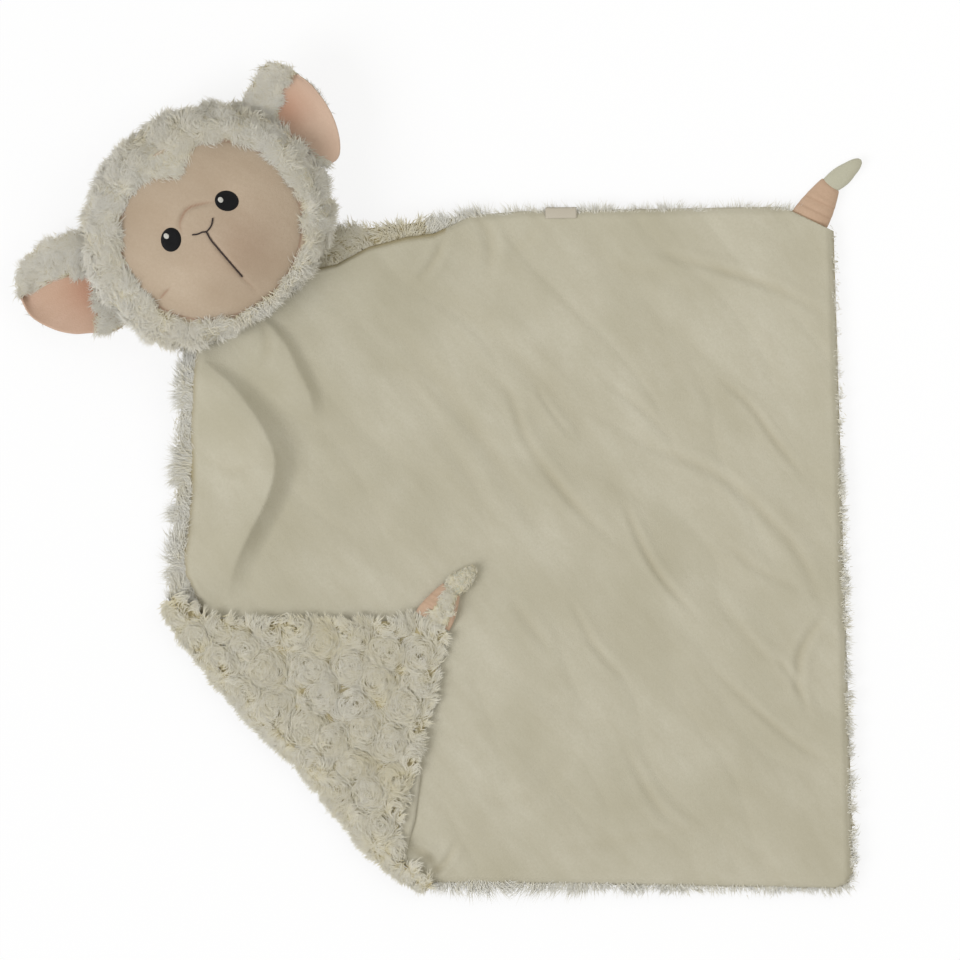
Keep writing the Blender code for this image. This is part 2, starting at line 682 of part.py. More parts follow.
def cuff_shell(name, spine, sign, pivot, colour, turned):
    """Half of the cuff's cloth, over or under the stuffing."""
    rings = []
    open_angle = CLEARANCE / PAW_THICK
    for share in CUFF_STEP_SHARES:
        along = CLEARANCE + share * (CUFF_LENGTH - 2 * CLEARANCE)
        width, thick = cuff_half_width(share), PAW_THICK / 2
        start, end = sign * open_angle, sign * (math.pi - open_angle)
        outer = paw_section(spine, along, width, thick, start, end, PAW_ARC_STEPS)
        inner_width, inner_thick = width - PAW_CLOTH_THICK, thick - PAW_CLOTH_THICK
        inner = paw_section(spine, along, inner_width, inner_thick, end, start, PAW_ARC_STEPS)
        rings.append(outer + inner)
    return capped_rings(name, rings, pivot, colour, turned)


def capped_rings(name, rings, pivot, colour, turned):
    mesh = bmesh.new()
    made = [[mesh.verts.new(point) for point in ring] for ring in rings]
    for first, second in zip(made, made[1:]):
        join_rings(mesh, first, second)
    mesh.faces.new(made[0])
    mesh.faces.new(made[-1])
    if turned:
        bmesh.ops.transform(mesh, matrix=turn_over(), verts=mesh.verts)
    return add_object(name, mesh, pivot, colour)


def hoof_rings(spine, inset):
    rings = []
    for share, width_share in HOOF_STEP_SHARES:
        along = CUFF_LENGTH + share * (HOOF_LENGTH - inset)
        half_width = HOOF_WIDTH / 2 * width_share - inset * width_share
        half_thick = (PAW_THICK / 2 - inset) * width_share
        ring = paw_section(spine, along, half_width, half_thick, 0, 2 * math.pi, 2 * PAW_ARC_STEPS)
        rings.append(ring[:-1])
    tip = spine(CUFF_LENGTH + HOOF_LENGTH - inset)[0]
    rings.append([at_height(tip, BLANKET_TOP / 2)])
    return rings


def paw(side, corner_name, cuff_turn, hoof_turn, pivot, turned):
    """A cuff of velour above and plush below, a cream hoof, and the stuffing inside both."""
    base, outward = paw_seat(corner_name)
    spine = paw_spine(base, outward, cuff_turn, hoof_turn)
    cuff_shell(f"paw_{side}_front", spine, 1, pivot, PEACH_VELOUR, turned)
    cuff_shell(f"paw_{side}_back", spine, -1, pivot, CREAM_PLUSH, turned)
    outer = hoof_rings(spine, 0)
    inner = hoof_rings(spine, PAW_CLOTH_THICK)
    turned_solid(f"paw_{side}_hoof", outer[::-1] + inner, pivot, CREAM_VELOUR, turned)
    core_inset = PAW_CLOTH_THICK + CLEARANCE
    core_half_thick = PAW_THICK / 2 - core_inset
    rings = []
    for share in CUFF_STEP_SHARES[:-1]:
        along = CLEARANCE + share * CUFF_LENGTH
        width = cuff_half_width(share) - core_inset - CLEARANCE
        ring = paw_section(spine, along, width, core_half_thick, 0, 2 * math.pi, 2 * PAW_ARC_STEPS)
        rings.append(ring[:-1])
    base_middle = at_height(spine(CLEARANCE)[0], BLANKET_TOP / 2)
    rings = [[base_middle]] + rings + hoof_rings(spine, core_inset)
    turned_solid(f"paw_{side}_stuffing", rings, pivot, WHITE_STUFFING, turned)


def turned_solid(name, rings, pivot, colour, turned):
    if turned:
        rings = [[turn_over() @ point for point in ring] for ring in rings]
    return ring_solid(name, rings, pivot, colour)


def label():
    """A blank woven tab caught in the top seam, lying on the plush's edge."""
    seam_left, seam_right = corner("top_left"), corner("top_right")
    along = (seam_right - seam_left).normalized()
    outward = Vector((-along.y, along.x, 0))
    middle = seam_left.lerp(seam_right, LABEL_PLACE_SHARE)
    left_end = middle + outward * CLEARANCE - along * LABEL_WIDTH / 2
    right_end = left_end + along * LABEL_WIDTH
    outline = (left_end, right_end, right_end + outward * LABEL_OUT, left_end + outward * LABEL_OUT)
    mesh = bmesh.new()
    mesh.faces.new([mesh.verts.new(point) for point in outline])
    thicken(mesh, VELOUR_Z, LABEL_THICK)
    return add_object("sewn_in_label", mesh, None, LABEL_WHITE)


def build():
    clear_scene()
    cutter = neck_cutter()
    blanket_layer("blanket_back", 0, PLUSH_THICK, PILE_OVERHANG, CREAM_PLUSH, cutter)
    blanket_layer("blanket_front", VELOUR_Z, VELOUR_THICK, 0, CREAM_VELOUR, cutter)
    fold_strip()
    label()

    corner_pivot = add_pivot("corner_pivot", FOLD_PIVOT)
    corner_layer("corner_back", 0, PLUSH_THICK, PILE_OVERHANG, CREAM_PLUSH, corner_pivot)
    corner_layer("corner_front", VELOUR_Z, VELOUR_THICK, 0, CREAM_VELOUR, corner_pivot)

    head_pivot = add_pivot("head_pivot", NECK_PIVOT)
    head_back(head_pivot)
    head_hood(head_pivot)
    head_face(head_pivot)
    head_stuffing(head_pivot)
    eye("left", -1, head_pivot)
    eye("right", 1, head_pivot)
    nose_and_mouth(head_pivot)

    side = HEAD_RIGHT * (HEAD_HALF_WIDTH + 2 * CLEARANCE)
    left_ear_pivot = add_pivot("ear_left_pivot", at_height(HEAD_CENTRE - side, EAR_TOP_Z), head_pivot)
    ear("left", -1, LEFT_EAR_ANGLES, LEFT_EAR_REACH, LEFT_EAR_DROP, left_ear_pivot)
    right_ear_pivot = add_pivot("ear_right_pivot", at_height(HEAD_CENTRE + side, EAR_TOP_Z), head_pivot)
    ear("right", 1, RIGHT_EAR_ANGLES, RIGHT_EAR_REACH, RIGHT_EAR_DROP, right_ear_pivot)

    right_base = at_height(paw_seat("top_right")[0], FOLD_Z)
    right_paw_pivot = add_pivot("paw_right_pivot", right_base)
    paw("right", "top_right", RIGHT_CUFF_TURN, RIGHT_HOOF_TURN, right_paw_pivot, False)
    left_base = turn_over() @ at_height(paw_seat("bottom_left")[0], 0)
    left_paw_pivot = add_pivot("paw_left_pivot", left_base, corner_pivot)
    paw("left", "bottom_left", LEFT_CUFF_TURN, LEFT_HOOF_TURN, left_paw_pivot, True)


build()
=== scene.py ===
"""A comfort blanket lovey, laid flat with its face up and one corner folded over.

The blanket's two fabrics, the stuffed lamb head, the ears and the paws are each made here in their
real cloth, pile and stitching, in the order in which such a toy is put together.
"""

import math

import bmesh
import bpy
import numpy as np
from mathutils import Matrix, Vector, noise
from mathutils.kdtree import KDTree


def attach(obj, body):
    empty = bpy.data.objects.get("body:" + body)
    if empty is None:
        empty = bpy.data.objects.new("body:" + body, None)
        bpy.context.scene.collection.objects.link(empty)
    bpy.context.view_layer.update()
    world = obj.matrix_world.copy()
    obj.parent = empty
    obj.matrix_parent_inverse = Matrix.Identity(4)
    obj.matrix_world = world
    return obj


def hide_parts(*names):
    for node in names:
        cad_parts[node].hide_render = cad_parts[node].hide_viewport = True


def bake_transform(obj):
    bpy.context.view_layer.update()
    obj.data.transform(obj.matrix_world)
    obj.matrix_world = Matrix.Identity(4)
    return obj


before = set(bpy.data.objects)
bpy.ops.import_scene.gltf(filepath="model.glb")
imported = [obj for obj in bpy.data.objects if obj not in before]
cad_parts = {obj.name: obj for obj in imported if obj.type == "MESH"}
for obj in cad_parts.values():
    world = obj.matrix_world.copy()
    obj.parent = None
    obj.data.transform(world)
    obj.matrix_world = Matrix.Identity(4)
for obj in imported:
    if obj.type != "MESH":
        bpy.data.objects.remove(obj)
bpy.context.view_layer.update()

# Studio
# A white paper floor under an even white sky, with a large soft box at the left and a small, weak one
# at the upper right. The camera looks straight down through a long lens, as in the photograph.
MM = 0.001
picture_width = 960
view_centre = (-16.2 * MM, 39.0 * MM)
view_span = 519.4 * MM
view_plane_z = 8 * MM
lens_mm = 900
sensor_mm = 36
floor_size = 8
lamps = {
    "key_soft_box": ((-3.7, -1.8, 3.8), 3.0, 161, (0.98, 0.99, 1.04)),
    "fill_soft_box": ((0.8, 0.5, 1.3), 1.2, 6, (1, 1, 1)),
}
sky_strength = 0.5
sky_tint = (1, 0.985, 0.935, 1)
paper_hex = "#ffffff"
paper_glow = 0.84


def linear(code):
    """An sRGB hex colour as the linear values that a shader takes."""
    values = [int(code[place : place + 2], 16) / 255 for place in (1, 3, 5)]
    return (*(v / 12.92 if v <= 0.04045 else ((v + 0.055) / 1.055) ** 2.4 for v in values), 1)


def set_inputs(tree, node, inputs):
    """Gives a node's inputs their values. A value that is another node's socket is linked."""
    for name, value in inputs.items():
        if isinstance(value, bpy.types.NodeSocket):
            tree.links.new(value, node.inputs[name])
        else:
            node.inputs[name].default_value = value


def add_node(tree, kind, settings=None, inputs=None):
    """Adds a shader node with its settings, its values and its links."""
    node = tree.nodes.new("ShaderNode" + kind)
    for name, value in (settings or {}).items():
        setattr(node, name, value)
    set_inputs(tree, node, inputs or {})
    return node


def new_finish(name):
    finish = bpy.data.materials.new(name)
    finish.use_nodes = True
    return finish, finish.node_tree, finish.node_tree.nodes["Principled BSDF"]


def seamless_paper():
    """Matt white paper. Where the camera sees it, most of its light is its own white."""
    finish, tree, shader = new_finish("seamless_white_paper")
    set_inputs(tree, shader, {"Base Color": linear(paper_hex), "Roughness": 1, "Specular IOR Level": 0})
    path = add_node(tree, "LightPath")
    seen = path.outputs["Is Camera Ray"]
    for ray in ("Is Glossy Ray", "Is Transmission Ray"):
        seen = add_node(tree, "Math", {"operation": "MAXIMUM"}, {0: seen, 1: path.outputs[ray]}).outputs[0]
    share = add_node(tree, "Math", {"operation": "MULTIPLY"}, {0: seen, 1: paper_glow})
    white = add_node(tree, "Emission", {}, {"Color": (1, 1, 1, 1), "Strength": 1})
    mixed = add_node(tree, "MixShader", {}, {0: share.outputs[0], 1: shader.outputs[0], 2: white.outputs[0]})
    set_inputs(tree, tree.nodes["Material Output"], {"Surface": mixed.outputs[0]})
    return finish


def shown(name, data, finish):
    """Puts a mesh into the scene as an object with its finish."""
    item = bpy.data.objects.new(name, data)
    item.data.materials.append(finish)
    bpy.context.collection.objects.link(item)
    return item


paper = bmesh.new()
bmesh.ops.create_grid(paper, x_segments=1, y_segments=1, size=floor_size / 2)
paper_data = bpy.data.meshes.new("paper_floor")
paper.to_mesh(paper_data)
paper.free()
floor = shown("paper_floor", paper_data, seamless_paper())

world = bpy.data.worlds.new("white_room")
world.use_nodes = True
bpy.context.scene.world = world
sky_path = add_node(world.node_tree, "LightPath")
sky_range = {"Value": sky_path.outputs["Is Camera Ray"], "To Min": sky_strength, "To Max": 1}
sky_level = add_node(world.node_tree, "MapRange", {}, sky_range)
sky_look = {"Color": sky_tint, "Strength": sky_level.outputs[0]}
set_inputs(world.node_tree, world.node_tree.nodes["Background"], sky_look)

for lamp_name, (lamp_place, lamp_size, lamp_watts, lamp_tint) in lamps.items():
    lamp_data = bpy.data.lights.new(lamp_name, "AREA")
    lamp_data.size = lamp_size
    lamp_data.energy = lamp_watts
    lamp_data.color = lamp_tint
    lamp = bpy.data.objects.new(lamp_name, lamp_data)
    lamp.location = lamp_place
    lamp.rotation_mode = "QUATERNION"
    lamp.rotation_quaternion = (-Vector(lamp_place)).to_track_quat("-Z", "Y")
    lamp.visible_camera = False
    bpy.context.collection.objects.link(lamp)

camera_data = bpy.data.cameras.new("overhead")
camera_data.lens = lens_mm
camera_data.sensor_width = sensor_mm
camera = bpy.data.objects.new("overhead", camera_data)
camera.location = (*view_centre, view_plane_z + view_span * lens_mm / sensor_mm)
bpy.context.collection.objects.link(camera)
bpy.context.scene.camera = camera

bpy.context.scene.view_settings.view_transform = "Standard"

# Rosette-plush back
# A knitted polyester backing carries a long pile that is swirled into small roses. It lies face
# down under the whole blanket, and its pile shows past the velour's edge all the way round.
blanket_side = 360 * MM
corner_shares = {
    "bottom_left": (-1.043, -0.974),
    "bottom_right": (1.031, -1.010),
    "top_left": (-0.962, 0.992),
    "top_right": (0.968, 1.022),
}
edge_corners = ("bottom_left", "bottom_right", "top_right", "top_left", "bottom_left")
right_edge, top_edge, left_edge = 1, 2, 3
blanket_top = 8.6 * MM
backing_top = 4.2 * MM
backing_thick = 1.0 * MM
backing_outset = 0.6 * MM
backing_cells = 120
fold_up_left_edge = 151 * MM
fold_along_bottom = 147 * MM
fold_z = 7.95 * MM
head_turn = math.radians(38)
head_from_corner = np.array((7.2, 1.1)) * MM
head_half_width = 69 * MM
head_half_height = 60.5 * MM
crown_roundness = 2.0
chin_roundness = 2.8
neck_rise = 11.6 * MM
neck_slope = 75.6 * MM
neck_tuck = 8 * MM
neck_pull_shares = (0, 0.28, 0.34, 0.42, 1)
neck_pulls = np.array((5.5, 5.5, 3.5, 0, 0)) * MM
pull_fade = 6
paw_cut_head_side = 20 * MM
paw_cut_far_side = 10 * MM
corner_round = 9 * MM
corner_draw = 0.3
weld_distance = 0.01 * MM
# A fold of cloth: its crest, where along the blanket its height is given, that height, and the width
# of its steep and of its gentle flank.
ridge_crest_x = (-165, -150, -135, -127, -131, -141, -149, -153)
ridge_crest_y = (103, 90, 70, 50, 30, 10, -8, -26)
left_ridge = (
    np.column_stack([ridge_crest_x, ridge_crest_y]) * MM,
    np.array((-26, -14, 10, 45, 70, 100, 118)) * MM,
    np.array((0, 4, 10, 13, 10, 3, 0)) * MM,
    12 * MM,
    44 * MM,
)
# How far the slack cloth bulges over the fold, in millimetres, at shares of the way along it.
swell_shares = (0, 0.04, 0.14, 0.28, 0.42, 0.57, 0.7, 0.83, 0.9, 0.96, 1)
swell_bulges = (1, 3.5, 7.4, 8.6, 8.2, 6.2, 8, 9.6, 7.4, 4.2, 1)
swell_width = 45 * MM
# How far the pile reaches past the bottom, right, top and left edges: shares along the edge, and
# millimetres there.
fringe_reach = (
    ((0.38, 12), (0.5, 12), (0.57, 9), (0.62, 6), (0.75, 5), (0.9, 3.5), (1, 3.5)),
    ((0, 3), (0.25, 3.6), (0.6, 3.2), (0.67, 1), (1, 0)),
    ((0, 1.5), (0.07, 5), (0.4, 6.5), (0.57, 6), (0.63, 2), (0.7, -2.5), (0.8, -3), (1, 0)),
    ((0, 6), (0.3, 6.5), (0.5, 9), (0.62, 8.5), (1, 8)),
)
fringe_rise = 2.4 * MM
fringe_rise_width = 6 * MM
fringe_shortest = 2.2 * MM
fringe_longest = 11 * MM
fringe_bands = np.array((4.5, 4, 5.5, 8)) * MM
neck_bands = np.array((0, 0, 24, 3)) * MM
neck_band_share = 0.62
neck_from_left = 20 * MM
fold_band = 26 * MM
fold_band_length = 30 * MM
fold_band_depth = 34 * MM
edge_combing = 30 * MM
underside_reach = 11 * MM
underside_shortest = 2.5 * MM
ridge_hollow = 12 * MM
rosette_spacing = 15 * MM
rose_share = 0.62
rose_eye = 3 * MM
rose_peak = 2.5 * MM
tightest_curl = 3.5 * MM
tuft_spread_along = 0.9 * MM
tuft_spread_across = 0.8 * MM
loop_spacing = 1.1 * MM
loop_depth = 0.3 * MM
backing_patch = 18 * MM
pile_patch = 22 * MM
pile_middle = 0.35
backing_hex = "#c0b38d"
backing_warm_hex = "#b4a67c"
pile_hexes = ("#c0b48e", "#dbd6c3", "#e5e2d6", "#dacfa6")
# Painted light: the edge pile is the same plush, coloured whiter than the roses' pile against the shade at
# the velour's edge.
fringe_hexes = ("#cdc6ae", "#dfddd2", "#eae9e4", "#dcd5bc")
# Painted shade: the pile at the neck is coloured darker and warmer, as shade in the crevice under the head.
neck_pile_shade_hexes = ("#b3a27a", "#d6cfb6", "#e3e0d4", "#d0c5a0")


def unit(vector):
    return vector / np.linalg.norm(vector)


def sewn_corner(name, outset=0):
    """A corner of the sewn blanket, moved out along both axes."""
    share = np.array(corner_shares[name])
    return share * blanket_side / 2 + np.sign(share) * outset


fold_left = sewn_corner("bottom_left")
fold_left = fold_left + unit(sewn_corner("top_left") - fold_left) * fold_up_left_edge
fold_right = sewn_corner("bottom_left")
fold_right = fold_right + unit(sewn_corner("bottom_right") - fold_right) * fold_along_bottom
fold_along = unit(fold_right - fold_left)
fold_inward = np.array((-fold_along[1], fold_along[0]))
head_centre = sewn_corner("top_left") + head_from_corner
head_right = np.array((math.cos(head_turn), math.sin(head_turn)))
head_up = np.array((-head_right[1], head_right[0]))


def ease(share):
    """Falls smoothly from 1 to 0 as the share goes from 0 to 1."""
    share = np.clip(share, 0, 1)
    return (1 - share) ** 2 * (1 + 2 * share)


def bell(distance, width):
    """1 in the middle, falling away smoothly to both sides over the width."""
    return np.exp(-((distance / width) ** 2))


def stepped(share, steps):
    """A length read between steps that each give a share of the way and the millimetres there."""
    return np.interp(share, *np.array(steps).T) * MM


def smooth_line(points, steps=12):
    """Points along a soft curve through the given ones."""
    points = np.vstack([2 * points[0] - points[1], points, 2 * points[-1] - points[-2]])
    line = []
    for a, b, c, d in zip(points, points[1:], points[2:], points[3:]):
        for t in np.linspace(0, 1, steps, endpoint=False):
            line.append(b + 0.5 * t * (c - a + t * (2 * a - 5 * b + 4 * c - d + t * (3 * b - a - 3 * c + d))))
    return np.array([*line, points[-2]])


def head_share(plan):
    """How far out places lie from the head's centre, where the head's outline is 1."""
    away = plan - head_centre
    across = np.abs(away @ head_right) / head_half_width
    up = away @ head_up / head_half_height
    roundness = np.where(up > 0, crown_roundness, chin_roundness)
    return (across**roundness + np.abs(up) ** roundness) ** (1 / roundness)


def soft_fold(plan, crest_line, steps, heights, steep, gentle):
    """A fold of cloth along a crest that runs down the blanket: steep on its right flank."""
    crest_x, crest_y = smooth_line(crest_line)[::-1].T
    crest = np.interp(plan[:, 1], crest_y, crest_x)
    height = np.interp(plan[:, 1], steps, heights)
    apart = plan[:, 0] - crest
    flank = np.clip(1 - apart / steep, 0, 1) ** 1.6
    return height * np.where(apart > 0, flank, ease(-apart / gentle))


def cloth_rise(plan):
    """How far the blanket lifts off the floor: up to the neck, and along the ridge."""
    from_head = (head_share(plan) - 1) * head_half_height
    return neck_rise * ease(from_head / neck_slope) + soft_fold(plan, *left_ridge)


def slackened(plan):
    """Lets the cloth beside the fold bulge out over it in slow waves, as a slack fold lies."""
    along = (plan - fold_left) @ fold_along / np.linalg.norm(fold_right - fold_left)
    from_fold = (plan - fold_left) @ fold_inward
    bulge = stepped(along, smooth_line(np.column_stack([swell_shares, swell_bulges])))
    reach = bulge * ease(from_fold / swell_width)
    return plan - reach[:, None] * fold_inward


def plan_of(points):
    return np.array([(point.co.x, point.co.y) for point in points])


def trim(mesh, where, outward):
    """Cuts off what lies beyond an upright plane."""
    bmesh.ops.bisect_plane(
        mesh,
        geom=mesh.verts[:] + mesh.edges[:] + mesh.faces[:],
        plane_co=(*where, 0),
        plane_no=(*outward, 0),
        clear_outer=True,
    )


def paw_seat(name):
    """The middle of a paw's sewn base, across its corner, and the way it points when flat."""
    near = sewn_corner(name)
    near = near + unit(sewn_corner("top_left") - near) * paw_cut_head_side
    far = sewn_corner(name)
    far = far + unit(sewn_corner("bottom_right") - far) * paw_cut_far_side
    along = unit(far - near)
    outward = np.array((along[1], -along[0]))
    return (near + far) / 2, outward * np.sign(outward @ sewn_corner(name))


def cloth_plan(cells, outset):
    """A flat grid over the whole sewn square, with its shares across and up kept beside it."""
    mesh = bmesh.new()
    bmesh.ops.create_grid(mesh, x_segments=cells, y_segments=cells, size=1)
    shares = (plan_of(mesh.verts) + 1) / 2
    low = [sewn_corner("bottom_left", outset), sewn_corner("bottom_right", outset)]
    high = [sewn_corner("top_left", outset), sewn_corner("top_right", outset)]
    across, up = shares[:, :1], shares[:, 1:]
    plan = (low[0] * (1 - across) + low[1] * across) * (1 - up)
    plan += (high[0] * (1 - across) + high[1] * across) * up
    rounded = np.clip(corner_round - (1 - shares[:, 0] + shares[:, 1]) * blanket_side, 0, None)
    plan += corner_draw * rounded[:, None] * (-1, 1)
    return mesh, shares, plan


def set_heights(mesh, plan, heights):
    for vertex, (x, y), z in zip(mesh.verts, plan, heights):
        vertex.co = (x, y, z)


def cut_neck(mesh, gap):
    """Takes out what lies inside the head's outline, and draws the cut edge onto it."""
    shares = head_share(plan_of(mesh.verts))
    edge = 1 + gap / head_half_height
    inside = {vertex for vertex, share in zip(mesh.verts, shares) if share < edge}
    lost = [face for face in mesh.faces if all(vertex in inside for vertex in face.verts)]
    bmesh.ops.delete(mesh, geom=lost, context="FACES")
    kept = plan_of(mesh.verts)
    scale = np.maximum(edge / head_share(kept), 1)
    for vertex, (x, y) in zip(mesh.verts, head_centre + (kept - head_centre) * scale[:, None]):
        vertex.co.x, vertex.co.y = x, y


def finished(name, mesh, finish, turn_faces=None):
    """Makes a bmesh into a shown object with its finish, with its faces turned the right way."""
    bmesh.ops.remove_doubles(mesh, verts=mesh.verts, dist=weld_distance)
    if turn_faces:
        turn_faces(mesh)
    data = bpy.data.meshes.new(name)
    mesh.to_mesh(data)
    mesh.free()
    data.shade_smooth()
    return shown(name, data, finish)


def give_thickness(item, thickness, offset=-1):
    solid = item.modifiers.new("cloth", "SOLIDIFY")
    solid.thickness = thickness
    solid.offset = offset
    return item


def knit_backing():
    """Warp-knit polyester: matt, dull yellow between the roses, with loops 1.1 mm apart."""
    finish, tree, shader = new_finish("warp_knit_backing")
    place = add_node(tree, "TexCoord").outputs["Object"]
    loops = add_node(tree, "TexVoronoi", {}, {"Vector": place, "Scale": 1 / loop_spacing})
    patches = add_node(tree, "TexNoise", {}, {"Vector": place, "Scale": 1 / backing_patch, "Detail": 2})
    tints = {0: patches.outputs["Fac"], 6: linear(backing_hex), 7: linear(backing_warm_hex)}
    colour = add_node(tree, "Mix", {"data_type": "RGBA"}, tints)
    relief = {"Height": loops.outputs["Distance"], "Distance": loop_depth, "Strength": 0.6}
    bump = add_node(tree, "Bump", {}, relief)
    set_inputs(tree, shader, {"Base Color": colour.outputs[2], "Normal": bump.outputs[0]})
    set_inputs(tree, shader, {"Roughness": 0.95, "Specular IOR Level": 0.2})
    return finish


def polyester_pile(name, root_hex, body_hex, tip_hex, warm_hex):
    """Long polyester fibre, painted darker and yellower towards the root as shade deep in the pile, and pale
    at the tip where the light reaches it.
    """
    finish, tree, shader = new_finish(name)
    tip = add_node(tree, "Attribute", {"attribute_name": "tip"}).outputs["Fac"]
    tone = add_node(tree, "Attribute", {"attribute_name": "tone"}).outputs["Fac"]
    place = add_node(tree, "TexCoord").outputs["Object"]
    drift = add_node(tree, "TexNoise", {}, {"Vector": place, "Scale": 1 / pile_patch, "Detail": 3})
    low = add_node(tree, "MapRange", {}, {"Value": tip, "From Max": pile_middle})
    high = add_node(tree, "MapRange", {}, {"Value": tip, "From Min": pile_middle})
    warmth = add_node(tree, "Math", {"operation": "MULTIPLY"}, {0: tone, 1: drift.outputs["Fac"]})
    # Painted shade: the root colour, then the body's and the tip's further out along each strand.
    colour = linear(root_hex)
    for share, code in ((low, body_hex), (high, tip_hex), (warmth, warm_hex)):
        tints = {0: share.outputs[0], 6: colour, 7: linear(code)}
        colour = add_node(tree, "Mix", {"data_type": "RGBA"}, tints).outputs[2]
    set_inputs(tree, shader, {"Base Color": colour, "Roughness": 0.75, "Specular IOR Level": 0.25})
    set_inputs(tree, shader, {"Sheen Weight": 0.3, "Sheen Roughness": 0.5})
    return finish


pile_finish = polyester_pile("rosette_polyester_pile", *pile_hexes)
fringe_finish = polyester_pile("edge_pile_painted_lighter", *fringe_hexes)
backing_finish = knit_backing()

strand_flatness = 0.5
strand_roundness = 0.45
strand_flank = 0.2
strand_glow = 0.3


def unit_strand(rings):
    """One strand of pile: a spike one unit long with a flat upper side, and rings where it can bend."""
    mesh = bmesh.new()
    raised = Matrix.Translation((0, 0, 0.5))
    bmesh.ops.create_cone(mesh, cap_ends=False, segments=3, radius1=1, radius2=0, depth=1, matrix=raised)
    bmesh.ops.remove_doubles(mesh, verts=mesh.verts, dist=0.001)
    for height in rings:
        geometry = mesh.verts[:] + mesh.edges[:] + mesh.faces[:]
        bmesh.ops.bisect_plane(mesh, geom=geometry, plane_co=(0, 0, height), plane_no=(0, 0, 1))
    bmesh.ops.triangulate(mesh, faces=mesh.faces)
    bmesh.ops.recalc_face_normals(mesh, faces=mesh.faces)
    mesh.verts.index_update()
    points = np.array([vertex.co for vertex in mesh.verts])
    faces = np.array([[vertex.index for vertex in face.verts] for face in mesh.faces])
    mesh.free()
    points, faces = points * (1, -strand_flatness, 1), faces[:, ::-1]
    first, second, third = (points[faces[:, corner]] for corner in range(3))
    return points, faces, np.cross(second - first, third - first)[:, 1] > 0.001


curled_strand = unit_strand((1 / 3, 2 / 3))
brushed_strand = unit_strand((0.45,))


def normalised(vectors):
    return vectors / np.maximum(np.linalg.norm(vectors, axis=1), 1e-9)[:, None]


def mark(data, label, values):
    """Stores a value at each point of a mesh for its finish to read."""
    layer = data.attributes.new(label, "FLOAT", "POINT")
    layer.data.foreach_set("value", np.asarray(values, np.float32))


def grow(name, roots, normals, ways, length, width, lift, curl, gather, tone, finish, strand):
    """Copies the strand to every root. Each one leans its way, turns by its curl and rises by its lift.

    Light soaks through real pile, so the strands are shaded as the tuft's surface, a little to the sky."""
    strand_points, strand_faces, strand_upper = strand
    along = np.clip(strand_points[:, 2], 0, 1)
    section = strand_points[:, :2] / np.maximum(1 - along, 0.001)[:, None]
    section[along > 0.999] = 0
    sides = np.cross(normals, ways)
    curl = np.where(np.abs(curl) < 0.01, 0.01, curl)
    turn = curl[:, None] * along
    forward = length[:, None] * np.sin(turn) / curl[:, None]
    sideways = length[:, None] * (1 - np.cos(turn)) / curl[:, None]
    rise = (length * lift)[:, None] * (along - 0.45 * along**2)
    centres = roots[:, None] + ways[:, None] * forward[..., None] + sides[:, None] * sideways[..., None]
    centres += normals[:, None] * rise[..., None] - gather[:, None] * along[:, None]
    heading = sides[:, None] * np.cos(turn)[..., None] - ways[:, None] * np.sin(turn)[..., None]
    reach = (width / 2)[:, None] * np.sqrt(1 - along)
    round_way = heading * section[:, 0, None] + normals[:, None] * section[:, 1, None]
    points = centres + round_way * reach[..., None]
    slope = lift[:, None] * (1 - 0.9 * along)
    onward = ways[:, None] * np.cos(turn)[..., None] + sides[:, None] * np.sin(turn)[..., None]
    upper = normals[:, None] - 0.7 * onward * slope[..., None]
    shading = np.stack([round_way + strand_flank * upper, strand_roundness * round_way + upper])
    shading[..., 2] += strand_glow
    count, each = len(roots), len(strand_points)
    faces = strand_faces[None] + each * np.arange(count)[:, None, None]
    data = bpy.data.meshes.new(name)
    data.vertices.add(count * each)
    data.vertices.foreach_set("co", points.astype(np.float32).ravel())
    data.loops.add(faces.size)
    data.loops.foreach_set("vertex_index", faces.astype(np.int32).ravel())
    data.polygons.add(faces.size // 3)
    data.polygons.foreach_set("loop_start", np.arange(0, faces.size, 3, dtype=np.int32))
    data.update(calc_edges=True)
    mark(data, "tip", np.tile(along, count))
    mark(data, "tone", np.repeat(tone, each))
    data.shade_smooth()
    shading = np.moveaxis(shading[strand_upper[:, None] * 1, :, strand_faces], 2, 0)
    data.normals_split_custom_set(normalised(shading.reshape(-1, 3)))
    return shown(name, data, finish)


def scatter(base, count, random):
    """Places spread evenly over a mesh, with its smooth normals there."""
    data = base.data
    data.calc_loop_triangles()
    points = np.array([vertex.co for vertex in data.vertices])
    normals = np.array([vertex.normal for vertex in data.vertices])
    faces = np.array([triangle.vertices for triangle in data.loop_triangles])
    first, second, third = (points[faces[:, corner]] for corner in range(3))
    areas = np.linalg.norm(np.cross(second - first, third - first), axis=1)
    picked = faces[random.choice(len(faces), count, p=areas / areas.sum())]
    shares = np.sort(random.random((count, 2)), axis=1)
    weights = np.stack([shares[:, 0], shares[:, 1] - shares[:, 0], 1 - shares[:, 1]], axis=1)
    places = (points[picked] * weights[..., None]).sum(1)
    facing = (normals[picked] * weights[..., None]).sum(1)
    return places, facing / np.linalg.norm(facing, axis=1)[:, None]


def spaced_apart(places, spacing):
    """Those of the places that keep their spacing from each other."""
    kept = places[:1]
    for place in places[1:]:
        if np.linalg.norm(kept - place, axis=1).min() > spacing:
            kept = np.vstack([kept, place])
    return kept


def nearest_finder(points):
    """A tree that finds the nearest of some points to a place."""
    tree = KDTree(len(points))
    for index, point in enumerate(points):
        tree.insert(point, index)
    tree.balance()
    return tree


